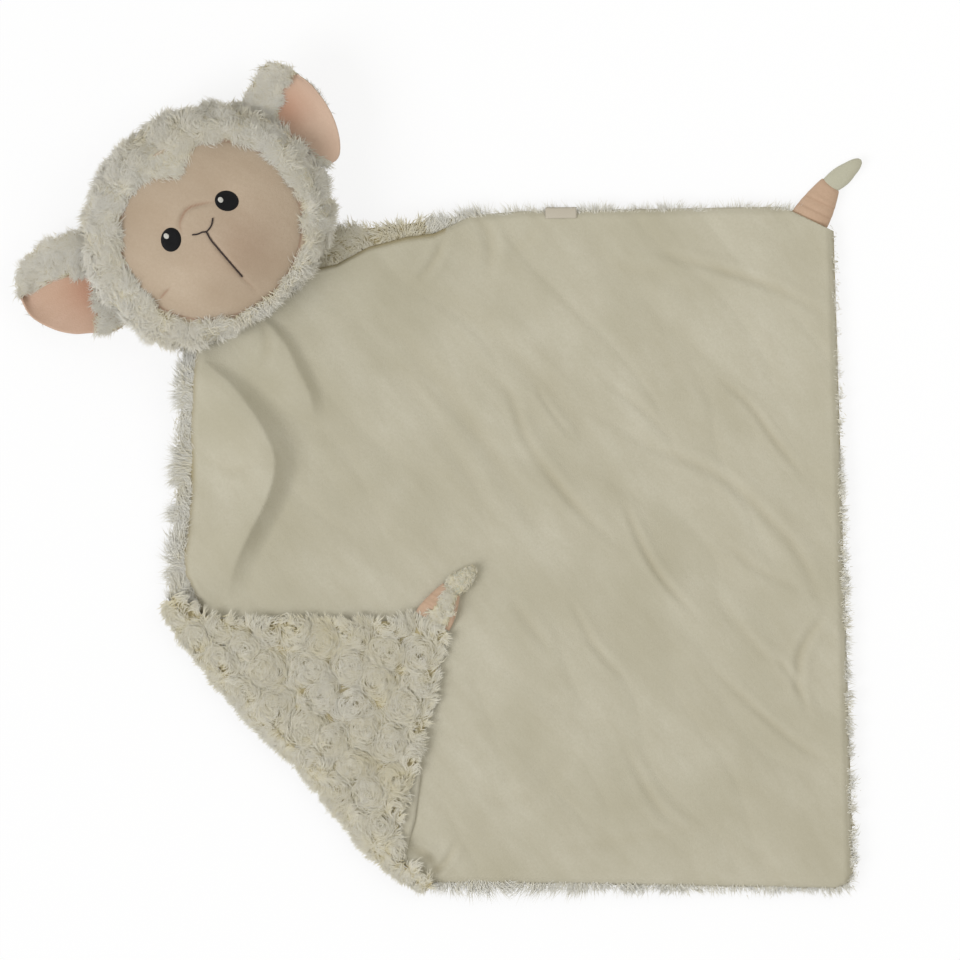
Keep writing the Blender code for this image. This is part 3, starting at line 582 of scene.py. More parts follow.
def swirled_pile(
    name,
    places,
    normals,
    random,
    spacing,
    length,
    width,
    lift,
    dome,
    lean=None,
    fibres=8,
    loose=0.4,
    pieces=1,
    finish=pile_finish,
    clump=0.5,
    ragged=1,
    strand=brushed_strand,
):
    """Pile that swirls round the middle of each rose, in tufts whose fibres draw together.

    Lean gives, for each place, a way to comb the tuft and how strongly. Loose, clump and ragged say
    how much a tuft strays from its rose, draws together at its tips and spreads at its root."""
    centres = spaced_apart(places[:4000], spacing)
    tree = nearest_finder(centres)
    nearest = np.array([tree.find(place)[1] for place in places])
    spins = np.where(random.random(len(centres)) < 0.5, -1, 1)[nearest]
    away = places - centres[nearest]
    away -= normals * (away * normals).sum(1)[:, None]
    distance = np.linalg.norm(away, axis=1)
    ways = np.cross(normals, normalised(away)) * spins[:, None]
    ways = normalised(ways + normalised(away) * random.normal(0.1, loose, len(places))[:, None])
    length = np.broadcast_to(length, len(places)) * random.uniform(0.75, 1.2, len(places))
    length = length * (0.6 + 0.4 * np.minimum(distance / (0.3 * spacing), 1))
    combed = np.zeros(len(places))
    if lean:
        wish, combed = lean(places, normals)
        ways = normalised(ways * (1 - combed)[:, None] + wish * combed[:, None])
    ways = normalised(ways - normals * (ways * normals).sum(1)[:, None])
    rose_radius = rose_share * spacing
    swell = dome * np.clip(1 - (distance / rose_radius) ** 2, 0, 1) * (1 - combed)
    roots = places + normals * swell[:, None]
    tilt = 2 * dome / rose_radius**2 * np.minimum(distance, rose_radius) * (1 - combed)
    normals = normalised(normals + normalised(away) * tilt[:, None])
    ways = normalised(ways - normals * (ways * normals).sum(1)[:, None])
    rose_tone = random.normal(0.45, 0.15, len(centres))[nearest]
    tone = np.clip(rose_tone + random.normal(0, 0.2, len(places)), 0, 1)
    curl = spins * np.minimum(length / np.maximum(distance, tightest_curl), 1.6) * (1 - combed)
    curl *= np.clip(distance / rose_eye, 0.15, 1)
    rising = lift * (1 + 0.9 * bell(distance, rose_peak))

    def each(values):
        return np.repeat(values, fibres, axis=0)

    count = len(places) * fibres
    sides = np.cross(normals, ways)
    jitter = each(ways) * random.normal(0, tuft_spread_along * ragged, count)[:, None]
    jitter += each(sides) * random.normal(0, tuft_spread_across * ragged, count)[:, None]
    turned = random.normal(0, 0.16 * ragged, count)[:, None]
    strands = (
        each(roots) + jitter,
        each(normals),
        normalised(each(ways) + each(sides) * turned),
        each(length) * random.uniform(0.7, 1.15, count),
        width * random.uniform(0.7, 1.25, count),
        each(rising) * random.uniform(0.6, 1.4, count),
        each(curl) + random.normal(0, 0.25, count),
        clump * jitter,
        np.clip(each(tone) + random.normal(0, 0.12, count), 0, 1),
    )
    shares = np.arange(count) * pieces // count
    grown = []
    for part in range(pieces):
        label = name if pieces == 1 else f"{name}_{part + 1}"
        grown.append(grow(label, *(values[shares == part] for values in strands), finish, strand))
    return grown


def blend_neck(item):
    """Bakes the piece's placing into its mesh."""
    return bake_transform(item)


def edge_distances(plan):
    """How far places lie inside the bottom, right, top and left edges, and those edges' outward ways."""
    distances, outwards = [], []
    for start, end in zip(edge_corners, edge_corners[1:]):
        along = unit(sewn_corner(end) - sewn_corner(start))
        outward = np.array((along[1], -along[0]))
        distances.append(-(plan - sewn_corner(start)) @ outward)
        outwards.append(outward)
    return np.array(distances), np.array(outwards)


def edge_reach(plan):
    """How far the pile reaches past each edge beside these places."""
    reach = []
    for start, end, steps in zip(edge_corners, edge_corners[1:], fringe_reach):
        edge = sewn_corner(end) - sewn_corner(start)
        share = (plan - sewn_corner(start)) @ edge / (edge @ edge)
        reach.append(stepped(share, steps))
    return np.array(reach)


backing, backing_shares, backing_plan = cloth_plan(backing_cells, backing_outset)
across, up = backing_shares.T
backing_plan[:, 1] -= np.interp(across, neck_pull_shares, neck_pulls) * up**pull_fade
set_heights(backing, backing_plan, np.zeros(len(backing_plan)))
trim(backing, fold_left, -fold_inward)
trim(backing, *paw_seat("top_right"))
cut_neck(backing, -neck_tuck)
backing_plan = plan_of(backing.verts)
set_heights(backing, slackened(backing_plan), backing_top + cloth_rise(backing_plan))
plush_back = finished("plush_back", backing, backing_finish)
random = np.random.default_rng(11)

under_places, under_normals = scatter(plush_back, 2200, random)
under_places[:, 2] -= backing_thick
under_plan = under_places[:, :2]
room = np.minimum(edge_distances(under_plan)[0].min(axis=0), (under_plan - fold_left) @ fold_inward)
room = np.clip(0.8 * room, underside_shortest, underside_reach)
on_ridge = np.clip(soft_fold(under_plan, *left_ridge) / ridge_hollow, 0, 1)
underside_pile = swirled_pile(
    "underside_pile",
    under_places,
    -under_normals,
    random,
    spacing=17 * MM,
    length=room * (1 - 0.75 * on_ridge),
    width=1.6 * MM,
    lift=0.2,
    dome=0.6 * MM,
    fibres=4,
)


def combed_outwards(places, normals):
    """Edge pile lies out over the edge, a little tangled."""
    distances, outwards = edge_distances(places[:, :2])
    nearest = distances.argmin(axis=0)
    wish = np.column_stack([outwards[nearest], np.zeros(len(places))])
    combed = np.clip(0.8 - distances.min(axis=0) / edge_combing, 0.25, 0.62)
    return wish, np.where(nearest == left_edge, 0.75, 1) * combed


fringe_places, fringe_normals = scatter(plush_back, 34000, random)
fringe_plan = fringe_places[:, :2]
inside_edge = edge_distances(fringe_plan)[0]
near_neck = bell(head_share(fringe_plan) - 1, neck_band_share)
beside_fold = (fringe_plan - fold_left) @ fold_inward
near_fold = ease(beside_fold / fold_band_length) * ease(inside_edge[left_edge] / fold_band_depth)
band = fringe_bands[:, None] + neck_bands[:, None] * near_neck
band[left_edge] += fold_band * near_fold
at_neck = (near_neck > 0.3) & (inside_edge[top_edge] < band[top_edge])
at_neck &= inside_edge[left_edge] > neck_from_left
kept = (inside_edge < band).any(axis=0) & ~at_neck
neck_places, neck_normals = fringe_places[at_neck], fringe_normals[at_neck]
fringe_places, fringe_normals = fringe_places[kept], fringe_normals[kept]
inside_edge, edge_lengths = inside_edge[:, kept], edge_reach(fringe_plan[kept])
nearest = inside_edge.argmin(axis=0)[None]
from_edge = inside_edge.min(axis=0)
fringe_length = np.take_along_axis(edge_lengths, nearest, 0)[0] * 1.1 + from_edge
side_rise = np.where(nearest[0] == right_edge, 1.4, 1) * fringe_rise
seam_rise = side_rise * random.uniform(0, 1, len(fringe_places)) * ease(from_edge / fringe_rise_width)
fringe_places[:, 2] += seam_rise
edge_pile = swirled_pile(
    "edge_pile",
    fringe_places,
    fringe_normals,
    random,
    spacing=rosette_spacing,
    length=np.clip(fringe_length, fringe_shortest, fringe_longest),
    width=0.44 * MM,
    lift=0.3,
    dome=0,
    lean=combed_outwards,
    fibres=9,
    pieces=3,
    finish=fringe_finish,
    clump=0.25,
    ragged=1.8,
)
neck_pile = swirled_pile(
    "neck_pile",
    neck_places,
    neck_normals,
    random,
    spacing=rosette_spacing,
    length=6.2 * MM,
    width=0.5 * MM,
    lift=0.35,
    dome=0.8 * MM,
    lean=combed_outwards,
    loose=0.7,
    # Its colours are painted darker and warmer as shade in the neck's crevice.
    finish=polyester_pile("neck_pile_painted_shade", *neck_pile_shade_hexes),
    ragged=1.6,
    strand=curled_strand,
)

give_thickness(plush_back, backing_thick)
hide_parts("blanket_back")
blend_neck(plush_back)
for pile in (*underside_pile, *edge_pile, *neck_pile):
    blend_neck(pile)

# Velour front
# One square of short cream velour, sewn to the plush along its edges and turned right side out, so
# its edges roll under. Smoothed by hand, it keeps soft pulls that run out from the neck.
velour_thick = 1.2 * MM
hem_drop = 1.6 * MM
velour_cells = 300
edge_roll_width = 3.6 * MM
edge_roll_drop = 2.2 * MM
left_groove = 2.0 * MM
# Widths of the painted shade along the left seam's groove and along the neck's crevice.
left_crease_width = 2.6 * MM
neck_crease_width = 2.2 * MM
# The velour's colour, the lighter colour of its painted nap sheen, and the darker one of its painted strokes
# and grain.
velour_hexes = ("#beb8a3", "#c9c4b1", "#b0aa92")
pull_depth = 0.95 * MM
deepest_crease = 2.6 * MM
neck_pleat = (
    np.array(((-140, 134), (-134, 127), (-123, 115), (-114, 98), (-108, 85), (-106, 74))) * MM,
    np.array((70, 82, 98, 115, 127, 136)) * MM,
    np.array((0, 3.4, 4.6, 4.6, 2.5, 0)) * MM,
    7 * MM,
    30 * MM,
)
pixel = view_span / picture_width
# Each pull of the cloth: the pixels of the picture that it runs through, its depth and its width.
pulls = (
    (((480, 365), (510, 395), (530, 445), (580, 510), (622, 548)), 0.9, 3.4),
    (((535, 385), (552, 412), (572, 438)), 0.7, 2.2),
    (((600, 376), (650, 415), (677, 448)), 0.6, 3.4),
    (((716, 376), (750, 405), (775, 440), (806, 478)), 1.0, 2.6),
    (((625, 425), (650, 445), (700, 465), (740, 490), (770, 520), (800, 555), (826, 612)), 1.0, 4),
    (((624, 502), (640, 540), (660, 575), (697, 617)), 1.2, 2.8),
    (((500, 436), (560, 488), (604, 530)), 0.5, 5),
    (((650, 250), (695, 262), (740, 275), (780, 290), (822, 312)), 1.1, 3.4),
    (((590, 270), (645, 270), (700, 300)), 0.5, 6),
    (((720, 540), (760, 570), (802, 590)), 0.6, 3.4),
    (((720, 600), (760, 650), (792, 672)), 0.6, 3.4),
    (((570, 600), (595, 645), (627, 682)), 0.8, 3),
    (((510, 600), (530, 624), (552, 652)), 0.6, 4),
    (((712, 668), (764, 716), (802, 747), (834, 763)), 0.9, 3),
    (((621, 740), (658, 807), (694, 836)), 0.7, 3.4),
    (((826, 614), (810, 636), (800, 658), (800, 700)), 1.2, 3.4),
    (((775, 652), (800, 690), (808, 714)), 0.8, 2.6),
    (((548, 852), (627, 839), (706, 828)), 0.6, 5),
    (((478, 800), (540, 790), (580, 740)), 0.5, 6),
    (((262, 318), (268, 344), (262, 366)), 1.1, 4),
    (((340, 300), (392, 330), (470, 420), (560, 560)), 0.7, 7),
    (((376, 276), (450, 300), (560, 400), (640, 510)), 0.5, 7),
    (((352, 330), (420, 400), (500, 520)), 0.5, 6),
    (((446, 238), (434, 262), (418, 282)), 1.1, 3.4),
    (((480, 214), (492, 246), (488, 276)), 1.2, 5),
    (((536, 222), (528, 240), (500, 262)), 0.7, 5),
    (((408, 846), (428, 856), (440, 872)), 1.9, 2.8),
    (((424, 878), (446, 862), (456, 842)), 1.5, 2.8),
    (((176, 556), (184, 584), (206, 610)), 2.2, 3.4),
    (((200, 455), (232, 470), (262, 458)), 0.6, 4),
)
# How far the top and the left edge are pulled in, at shares of the way along them.
top_pull_shares = (0, 0.20, 0.227, 0.277, 0.336, 0.38, 0.403, 0.44, 0.52, 0.9, 1)
top_pulls = np.array((26, 26, 24, 15, 10, 8.2, 4.6, -1.4, -3.2, -3.4, -1.5)) * MM
left_pull_shares = (0, 0.40, 0.41, 0.437, 0.462, 0.49, 0.529, 0.605, 0.697, 0.758, 1)
left_pulls = np.array((20, 20, 17, 10, 4.5, 3, 4.7, 5.8, 3.4, 4, 4)) * MM
left_wobble = 1.6 * MM
# The cloth's waves, valleys and puckers: their length, their width and the place in the noise.
ripple_axes = np.array(((0.64, -0.77), (0.77, 0.64)))
ripples = ((120 * MM, 24 * MM, 3.1), (85 * MM, 26 * MM, 7.7), (30 * MM, 10 * MM, 9.4))
# The nap's streaks and hand strokes, painted lighter and darker as the brushed nap's sheen, and
# its grain: their size, detail and roughness, the noise at which each starts and is full, and how
# strong it is then.
nap_layers = (
    (16 * MM, 3, 0.6, 0.3, 0.7, 1),
    (52 * MM, 2, 0.5, 0.38, 0.75, 0.6),
    (1.3 * MM, 3, 0.7, 0.3, 0.7, 0.34),
)
# The nap's relief: its fine pile and its soft tracks, by their size, detail, depth and strength.
nap_reliefs = ((0.7 * MM, 3, 0.35 * MM, 0.55), (5 * MM, 2, 0.5 * MM, 0.5))


def from_pixels(points):
    """Places on the blanket from pixels of the picture, whose middle is the view's."""
    x, y = np.array(points, float).T
    half = picture_width / 2
    return np.column_stack([view_centre[0] + (x - half) * pixel, view_centre[1] + (half - y) * pixel])


def line_distance(plan, line):
    """How far places lie from a line through points, and their share along it."""
    lengths = np.linalg.norm(np.diff(line, axis=0), axis=1)
    starts = np.concatenate([[0], np.cumsum(lengths)])
    best = np.full(len(plan), np.inf)
    share = np.zeros(len(plan))
    for start, end, length, before in zip(line, line[1:], lengths, starts):
        way = (end - start) / length
        along = np.clip((plan - start) @ way, 0, length)
        distance = np.linalg.norm(plan - start - along[:, None] * way, axis=1)
        nearer = distance < best
        best[nearer] = distance[nearer]
        share[nearer] = (before + along[nearer]) / starts[-1]
    return best, share


def pulled(plan):
    """The height of the velour's pulls: valleys with a low swell on either side."""
    height = np.zeros(len(plan))
    for path, depth, width in pulls:
        distance, share = line_distance(plan, smooth_line(from_pixels(path), 6))
        fade = np.sin(np.pi * np.clip(share, 0.02, 0.98)) ** 0.7
        apart = distance / (0.72 * width * MM)
        height += pull_depth * depth * fade * (0.45 * np.exp(-((apart - 1.8) ** 2)) - np.exp(-(apart**2)))
    return height


def rippled(plan):
    """Low waves along the diagonal that the cloth was smoothed in, crisp valleys and small puckers."""
    height = np.zeros(len(plan))
    for index, (u, v) in enumerate(plan @ ripple_axes.T):
        spots = (Vector((u / long, v / wide, place)) for long, wide, place in ripples)
        wave, valley, pucker = (noise.noise(spot) for spot in spots)
        valley = max(1 - 3.2 * abs(valley), 0)
        height[index] = 0.65 * wave - 0.6 * valley**2 + 0.25 * pucker
    return height * MM


def short_velour(name, hexes, nap_turn, painted_shade_hex):
    """Short knitted velour: its brushed nap's streaks painted lighter as its sheen, over a fine 1.3 mm grain.
    """
    finish, tree, shader = new_finish(name)
    place = add_node(tree, "TexCoord").outputs["Object"]
    lie = {"Vector": place, "Rotation": (0, 0, nap_turn), "Scale": (3, 1, 1)}
    along_nap = add_node(tree, "Mapping", {"vector_type": "TEXTURE"}, lie).outputs[0]
    colour = linear(hexes[0])
    for vector, layer, code in zip((along_nap, place, place), nap_layers, (hexes[1], hexes[2], hexes[2])):
        size, detail, roughness, start, full, strength = layer
        texture = {"Vector": vector, "Scale": 1 / size, "Detail": detail, "Roughness": roughness}
        pattern = add_node(tree, "TexNoise", {}, texture).outputs["Fac"]
        levels = {"Value": pattern, "From Min": start, "From Max": full, "To Max": strength}
        share = add_node(tree, "MapRange", {}, levels).outputs[0]
        tints = {0: share, 6: colour, 7: linear(code)}
        colour = add_node(tree, "Mix", {"data_type": "RGBA"}, tints).outputs[2]
    # Painted shade: where a piece marks shade in its creases, seams and folds, its colour darkens towards
    # this shade colour.
    crease = add_node(tree, "Attribute", {"attribute_name": "crease"}).outputs["Fac"]
    colour = add_node(tree, "Mix", {"data_type": "RGBA"}, {0: crease, 6: colour, 7: linear(painted_shade_hex)})
    bump = None
    for vector, (size, detail, depth, strength) in zip((place, along_nap), nap_reliefs):
        pattern = add_node(tree, "TexNoise", {}, {"Vector": vector, "Scale": 1 / size, "Detail": detail})
        relief = {"Height": pattern.outputs["Fac"], "Distance": depth, "Strength": strength}
        if bump:
            relief["Normal"] = bump.outputs[0]
        bump = add_node(tree, "Bump", {}, relief)
    set_inputs(tree, shader, {"Base Color": colour.outputs[2], "Normal": bump.outputs[0]})
    set_inputs(tree, shader, {"Roughness": 0.88, "Specular IOR Level": 0.2})
    set_inputs(tree, shader, {"Sheen Weight": 0.25, "Sheen Roughness": 0.45})
    return finish


# The last colour is the painted shade in the velour's creases.
cream_velour = short_velour("cream_velour_short_nap", velour_hexes, math.radians(-50), "#9a8c64")
velour, velour_shares, velour_plan = cloth_plan(velour_cells, 0)
painted_shade_layer = velour.verts.layers.float.new("crease")
across_share, up_share = velour_shares.T
velour_plan[:, 1] -= np.interp(across_share, top_pull_shares, top_pulls) * up_share**pull_fade
left_pull = np.interp(up_share, left_pull_shares, left_pulls)
left_pull += left_wobble * np.array([noise.noise(Vector((share * 15, 0, 5))) for share in up_share])
velour_plan[:, 0] += left_pull * (1 - across_share) ** pull_fade
from_edge = np.minimum(np.minimum(across_share, 1 - across_share), np.minimum(up_share, 1 - up_share))
roll = edge_roll_drop * ease(from_edge * blanket_side / edge_roll_width)
roll += left_groove * ease(across_share * blanket_side / (2 * edge_roll_width)) * (up_share > 0.4)
set_heights(velour, velour_plan, -roll)
# Painted shade: a dark line along the left seam's groove and along the neck's crevice, where shade falls.
for vertex, across, up in zip(velour.verts, across_share, up_share):
    left = bell(across * blanket_side, left_crease_width) * (0.4 < up < 0.9)
    neck = bell((1 - up) * blanket_side, neck_crease_width) * (across < 0.4)
    vertex[painted_shade_layer] = 0.9 * max(left, neck)
trim(velour, fold_left, -fold_inward)
trim(velour, *paw_seat("top_right"))
cut_neck(velour, -neck_tuck)
velour_plan = slackened(plan_of(velour.verts))
lowered = np.array([vertex.co.z for vertex in velour.verts])
creased = pulled(velour_plan)
# Painted shade in the pulls' valleys, darker the deeper the valley.
for vertex, depth in zip(velour.verts, -creased):
    vertex[painted_shade_layer] = max(vertex[painted_shade_layer], min(0.1 * depth / MM, 0.25))
relief = creased + rippled(velour_plan) + soft_fold(velour_plan, *neck_pleat)
relief = np.where(relief < 0, deepest_crease * np.tanh(relief / deepest_crease), relief)
set_heights(velour, velour_plan, blanket_top + cloth_rise(velour_plan) + lowered + relief)
rim = [edge for edge in velour.edges if edge.is_boundary]
for item in bmesh.ops.extrude_edge_only(velour, edges=rim)["geom"]:
    if isinstance(item, bmesh.types.BMVert):
        item.co.z -= hem_drop
velour_front = finished("velour_front", velour, cream_velour)
blend_neck(velour_front)
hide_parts("blanket_front")

# Care label
# A short tab of pale woven tape, caught in the top seam, folded down over the velour and left blank.
label_width = 17 * MM
label_out = 6 * MM
label_tuck = 1.1 * MM
label_z = 8.9 * MM
label_droop = 1.3 * MM
label_wave = 0.3 * MM
label_thick = 0.3 * MM
label_place_share = 0.578
label_hexes = ("#bab19f", "#c4bcab")
tape_weave = 0.5 * MM
tape_relief = 0.05 * MM
wave_bands = 3.2


def woven_tape():
    """Woven polyester tape: flat and pale, with a fine 0.5 mm weave that dulls its shine.

    A wave texture has 3.2 bands to its unit, so its scale is the spacing's inverse over 3.2."""
    finish, tree, shader = new_finish("woven_label_tape")
    place = add_node(tree, "TexCoord").outputs["Object"]
    threads = {"Vector": place, "Scale": 1 / (tape_weave * wave_bands), "Distortion": 0.4}
    weft, warp = (add_node(tree, "TexWave", {"bands_direction": way}, threads) for way in "XY")
    weave = add_node(tree, "Math", {"operation": "MAXIMUM"}, {0: weft.outputs["Fac"], 1: warp.outputs["Fac"]})
    tints = {0: weave.outputs[0], 6: linear(label_hexes[0]), 7: linear(label_hexes[1])}
    colour = add_node(tree, "Mix", {"data_type": "RGBA"}, tints)
    relief = {"Height": weave.outputs[0], "Distance": tape_relief, "Strength": 0.5}
    bump = add_node(tree, "Bump", {}, relief)
    set_inputs(tree, shader, {"Base Color": colour.outputs[2], "Normal": bump.outputs[0], "Roughness": 0.6})
    return finish


def grid_mesh(columns, rows, place):
    """A grid of faces with each corner put where place says, for shares across and up it."""
    mesh = bmesh.new()
    bmesh.ops.create_grid(mesh, x_segments=columns, y_segments=rows, size=1)
    for vertex in mesh.verts:
        vertex.co = place((vertex.co.x + 1) / 2, (vertex.co.y + 1) / 2)
    return mesh


def label_point(across, out):
    seam_left, seam_right = sewn_corner("top_left"), sewn_corner("top_right")
    along = unit(seam_right - seam_left)
    outward = np.array((-along[1], along[0]))
    middle = seam_left + (seam_right - seam_left) * label_place_share
    plan = middle + along * label_width * (across - 0.5) + outward * (label_out * out - label_tuck)
    height = label_z - label_droop * out**2 + label_wave * math.sin(5 * across)
    return Vector((*plan, height))


label = finished("blank_label", grid_mesh(16, 6, label_point), woven_tape())
give_thickness(label, label_thick)
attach(label, "blanket")
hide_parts("sewn_in_label")

# Folded corner
# The blanket's lower left corner, turned over on a long soft fold, so that its plush is on top and
# its velour lies face down. Its roses stand up freely here, and its edges are ragged with pile.
corner_velour_top = 9.6 * MM
corner_backing_top = 11.2 * MM
corner_cells = 150
corner_wave_height = 0.3 * MM
corner_wave_length = 9 * MM
corner_dip = 0.4 * MM
corner_dip_width = 14 * MM
bow_start = 12 * MM
bow_width = 70 * MM
rim_start = 2 * MM
rim_combing = 8 * MM
rim_pile_length = 5 * MM
corner_pile_longest = 8 * MM
# How far the velour's and the plush's right edges and both top edges are drawn in: shares of the way
# from the corner's tip to the fold, and millimetres there.
rim_draws = ((0, 3), (0.4, 11.5), (0.5, 12.5), (0.62, 10.5), (0.75, 9), (0.85, 11), (0.95, 12.5), (1, 12))
flap_draws = ((0, 3), (0.33, 9.5), (0.48, 13), (0.66, 17), (0.81, 17), (0.92, 15), (1, 12))
flap_dips = ((0, 2), (0.13, 4.5), (0.2, 8), (0.4, 10.5), (0.7, 10), (0.89, 6), (1, 0))


def turned_over(plan):
    """Mirrors places across the fold."""
    off = (plan - fold_left) @ fold_inward
    return plan - 2 * off[..., None] * fold_inward


def bowed(plan, draws):
    """Draws the corner's right edge in towards the fold, and its top edge down, as slack cloth lies."""
    tip = turned_over(sewn_corner("bottom_left"))
    past_fold = np.clip((plan - fold_left) @ fold_inward / bow_start, 0, 1)
    moved = plan.copy()
    for end, steps, axis in ((fold_right, draws, 0), (fold_left, flap_dips, 1)):
        edge = end - tip
        share = (plan - tip) @ edge / (edge @ edge)
        inside = np.abs((plan - tip) @ np.array((edge[1], -edge[0]))) / np.linalg.norm(edge)
        weight = np.clip(1 - inside / bow_width, 0, 1) * past_fold
        moved[:, axis] -= stepped(share, steps) * weight
    return moved


def faces_up(mesh):
    """Turns a sheet's faces to its upper side."""
    mesh.normal_update()
    bmesh.ops.recalc_face_normals(mesh, faces=mesh.faces)
    if sum(face.normal.z * face.calc_area() for face in mesh.faces) < 0:
        bmesh.ops.reverse_faces(mesh, faces=mesh.faces)


def corner_sheet(outset, draws):
    """The corner's outline beyond the fold, already turned over onto the blanket."""
    mesh, _, plan = cloth_plan(corner_cells, outset)
    set_heights(mesh, plan, np.zeros(len(plan)))
    trim(mesh, fold_left, fold_inward)
    trim(mesh, *paw_seat("bottom_left"))
    set_heights(mesh, slackened(bowed(turned_over(plan_of(mesh.verts)), draws)), np.zeros(len(mesh.verts)))
    faces_up(mesh)
    return mesh


corner_velour = corner_sheet(0, rim_draws)
plan = plan_of(corner_velour.verts)
wave = corner_wave_height * np.sin(plan[:, 0] / corner_wave_length)
set_heights(corner_velour, plan, corner_velour_top + wave)
velour_corner = finished("velour_corner", corner_velour, cream_velour)
mark(velour_corner.data, "crease", np.zeros(len(velour_corner.data.vertices)))
give_thickness(velour_corner, velour_thick)
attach(velour_corner, "corner")
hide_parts("corner_front")

corner_backing = corner_sheet(backing_outset, flap_draws)
plan = plan_of(corner_backing.verts)
from_fold = (plan - fold_left) @ fold_inward
set_heights(corner_backing, plan, corner_backing_top - corner_dip * ease(from_fold / corner_dip_width))
free_rim = []
for vertex in corner_backing.verts:
    if vertex.is_boundary and (np.array(vertex.co.xy) - fold_left) @ fold_inward > rim_start:
        middles = [face.calc_center_median() for face in vertex.link_faces]
        outward = (vertex.co - sum(middles, Vector()) / len(middles)).normalized()
        free_rim.append((vertex.co.copy(), outward))
rim_tree = nearest_finder([spot for spot, _ in free_rim])
plush_corner = finished("plush_corner", corner_backing, backing_finish)


def combed_off_corner(places, normals):
    """Pile at the corner's free edges lies out past them."""
    found = [rim_tree.find(place) for place in places]
    wish = np.array([free_rim[index][1] for _, index, _ in found]) + (0, 0, 0.1)
    return wish, np.clip(0.8 - np.array([apart for *_, apart in found]) / rim_combing, 0, 0.6)


random = np.random.default_rng(23)
corner_places, corner_normals = scatter(plush_corner, 3300, random)
from_rim = np.array([rim_tree.find(place)[2] for place in corner_places])
corner_pile = swirled_pile(
    "corner_pile",
    corner_places,
    corner_normals,
    random,
    spacing=rosette_spacing,
    length=np.clip(rim_pile_length + 0.5 * from_rim, 0, corner_pile_longest),
    width=0.55 * MM,
    lift=0.3,
    dome=2.2 * MM,
    lean=combed_off_corner,
    loose=0.6,
    pieces=2,
    ragged=1.25,
    strand=curled_strand,
)
give_thickness(plush_corner, backing_thick)
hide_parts("corner_back")
for piece in (plush_corner, *corner_pile):
    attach(piece, "corner")

# Fold
# The plush runs round the outside of the fold as a soft roll.
fold_radius = 4.6 * MM
fold_half_height = 3.6 * MM
fold_wobble = 1.6 * MM


def fold_point(along, around):
    """A place on the roll, from one end of the fold to the other and from its foot to its top."""
    angle = math.pi * (0.02 + 0.96 * around)
    reach = fold_radius + fold_wobble * noise.noise(Vector((along * 9, 0, 0)))
    middle = slackened((fold_left + (fold_right - fold_left) * along)[None])[0]
    plan = middle - fold_inward * reach * math.sin(angle)
    return Vector((*plan, fold_z - fold_half_height * math.cos(angle)))


fold_plush = finished("fold_plush", grid_mesh(90, 12, fold_point), backing_finish)
random = np.random.default_rng(31)
fold_places, fold_normals = scatter(fold_plush, 2000, random)
outwards = np.column_stack([np.tile(-fold_inward, (len(fold_places), 1)), np.zeros(len(fold_places))])
fold_normals *= np.sign((fold_normals * outwards).sum(1))[:, None]
upper = fold_normals[:, 2] > -0.5
fold_places = fold_places[upper]
fold_normals = normalised(fold_normals[upper] + (0, 0, 1.3))


def combed_round_fold(places, normals):
    """Pile on the outside of the roll lies out to the side, the lower the straighter."""
    wish = np.tile((*-fold_inward, 0), (len(places), 1))
    return wish, np.clip(1.2 - (places[:, 2] - fold_z) / fold_half_height, 0.1, 0.7)


fold_pile = swirled_pile(
    "fold_pile",
    fold_places,
    fold_normals,
    random,
    spacing=rosette_spacing,
    length=5.6 * MM,
    width=0.5 * MM,
    lift=0.25,
    dome=0.8 * MM,
    lean=combed_round_fold,
    ragged=1.25,
    strand=curled_strand,
)
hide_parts("fold_strip")
middle = (fold_left + fold_right) / 2
for piece in (fold_plush, *fold_pile):
    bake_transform(piece)

# Paws
# Each is a small stuffed cuff, peach velour in front and cream behind, that narrows to a wrist and
# ends in a long cream hoof. It is sewn across the blanket's corner, and its wrist is wrinkled.
paw_base_width = 21 * MM
paw_wrist_width = 11.8 * MM
paw_thick = 7.5 * MM
paw_middle_z = 3.9 * MM
paw_tuck = 1.5 * MM
paw_tuck_length = 8 * MM
paw_sewn_in = 2.5 * MM
cuff_length = 22 * MM
puff_length = 6 * MM
hoof_length = 21.5 * MM
hoof_width = 11.4 * MM
hoof_tuck = 2 * MM
# The cuff's two groups of wrinkles, in millimetres: their middle, depth, pitch and spread.
wrinkles = ((8, 0.26, 0.9, 3), (13, 0.22, 0.8, 2))
# Where along the cuff painted shade darkens its deepest wrinkles, and how wide it is.
wrinkle_shade_places = np.array((5.2, 10.9)) * MM
wrinkle_shade_width = 0.5 * MM
peach_hexes = ("#c2a48a", "#cdb097", "#b1947a")
hoof_hexes = ("#c3c0ac", "#ccccba", "#b4b098")

peach_velour = short_velour("peach_velour_short_nap", peach_hexes, math.radians(20), "#8f6a52")
hoof_velour = short_velour("cream_minky_hoof", hoof_hexes, math.radians(70), "#8b8468")


def turned_way(way, angle):
    across, up = math.cos(angle), math.sin(angle)
    return np.array((way[0] * across - way[1] * up, way[0] * up + way[1] * across))


def paw_path(corner_name, cuff_turn, hoof_turn, slid, shortened):
    """A function from a distance along the paw to its middle and its sideways way."""
    base, outward = paw_seat(corner_name)
    base = base + slid * np.array((-outward[1], outward[0]))
    cuff_way = turned_way(outward, cuff_turn)
    hoof_way = turned_way(outward, hoof_turn)
    wrist = base + cuff_way * cuff_length * shortened

    def path(along):
        bend = float(ease(1 - along / (cuff_length + hoof_length)))
        way = unit(outward * (1 - bend) + hoof_way * bend)
        past = max(along - cuff_length, 0) * shortened
        middle = wrist + hoof_way * past if past else base + cuff_way * along * shortened
        return middle, np.array((-way[1], way[0]))

    return path


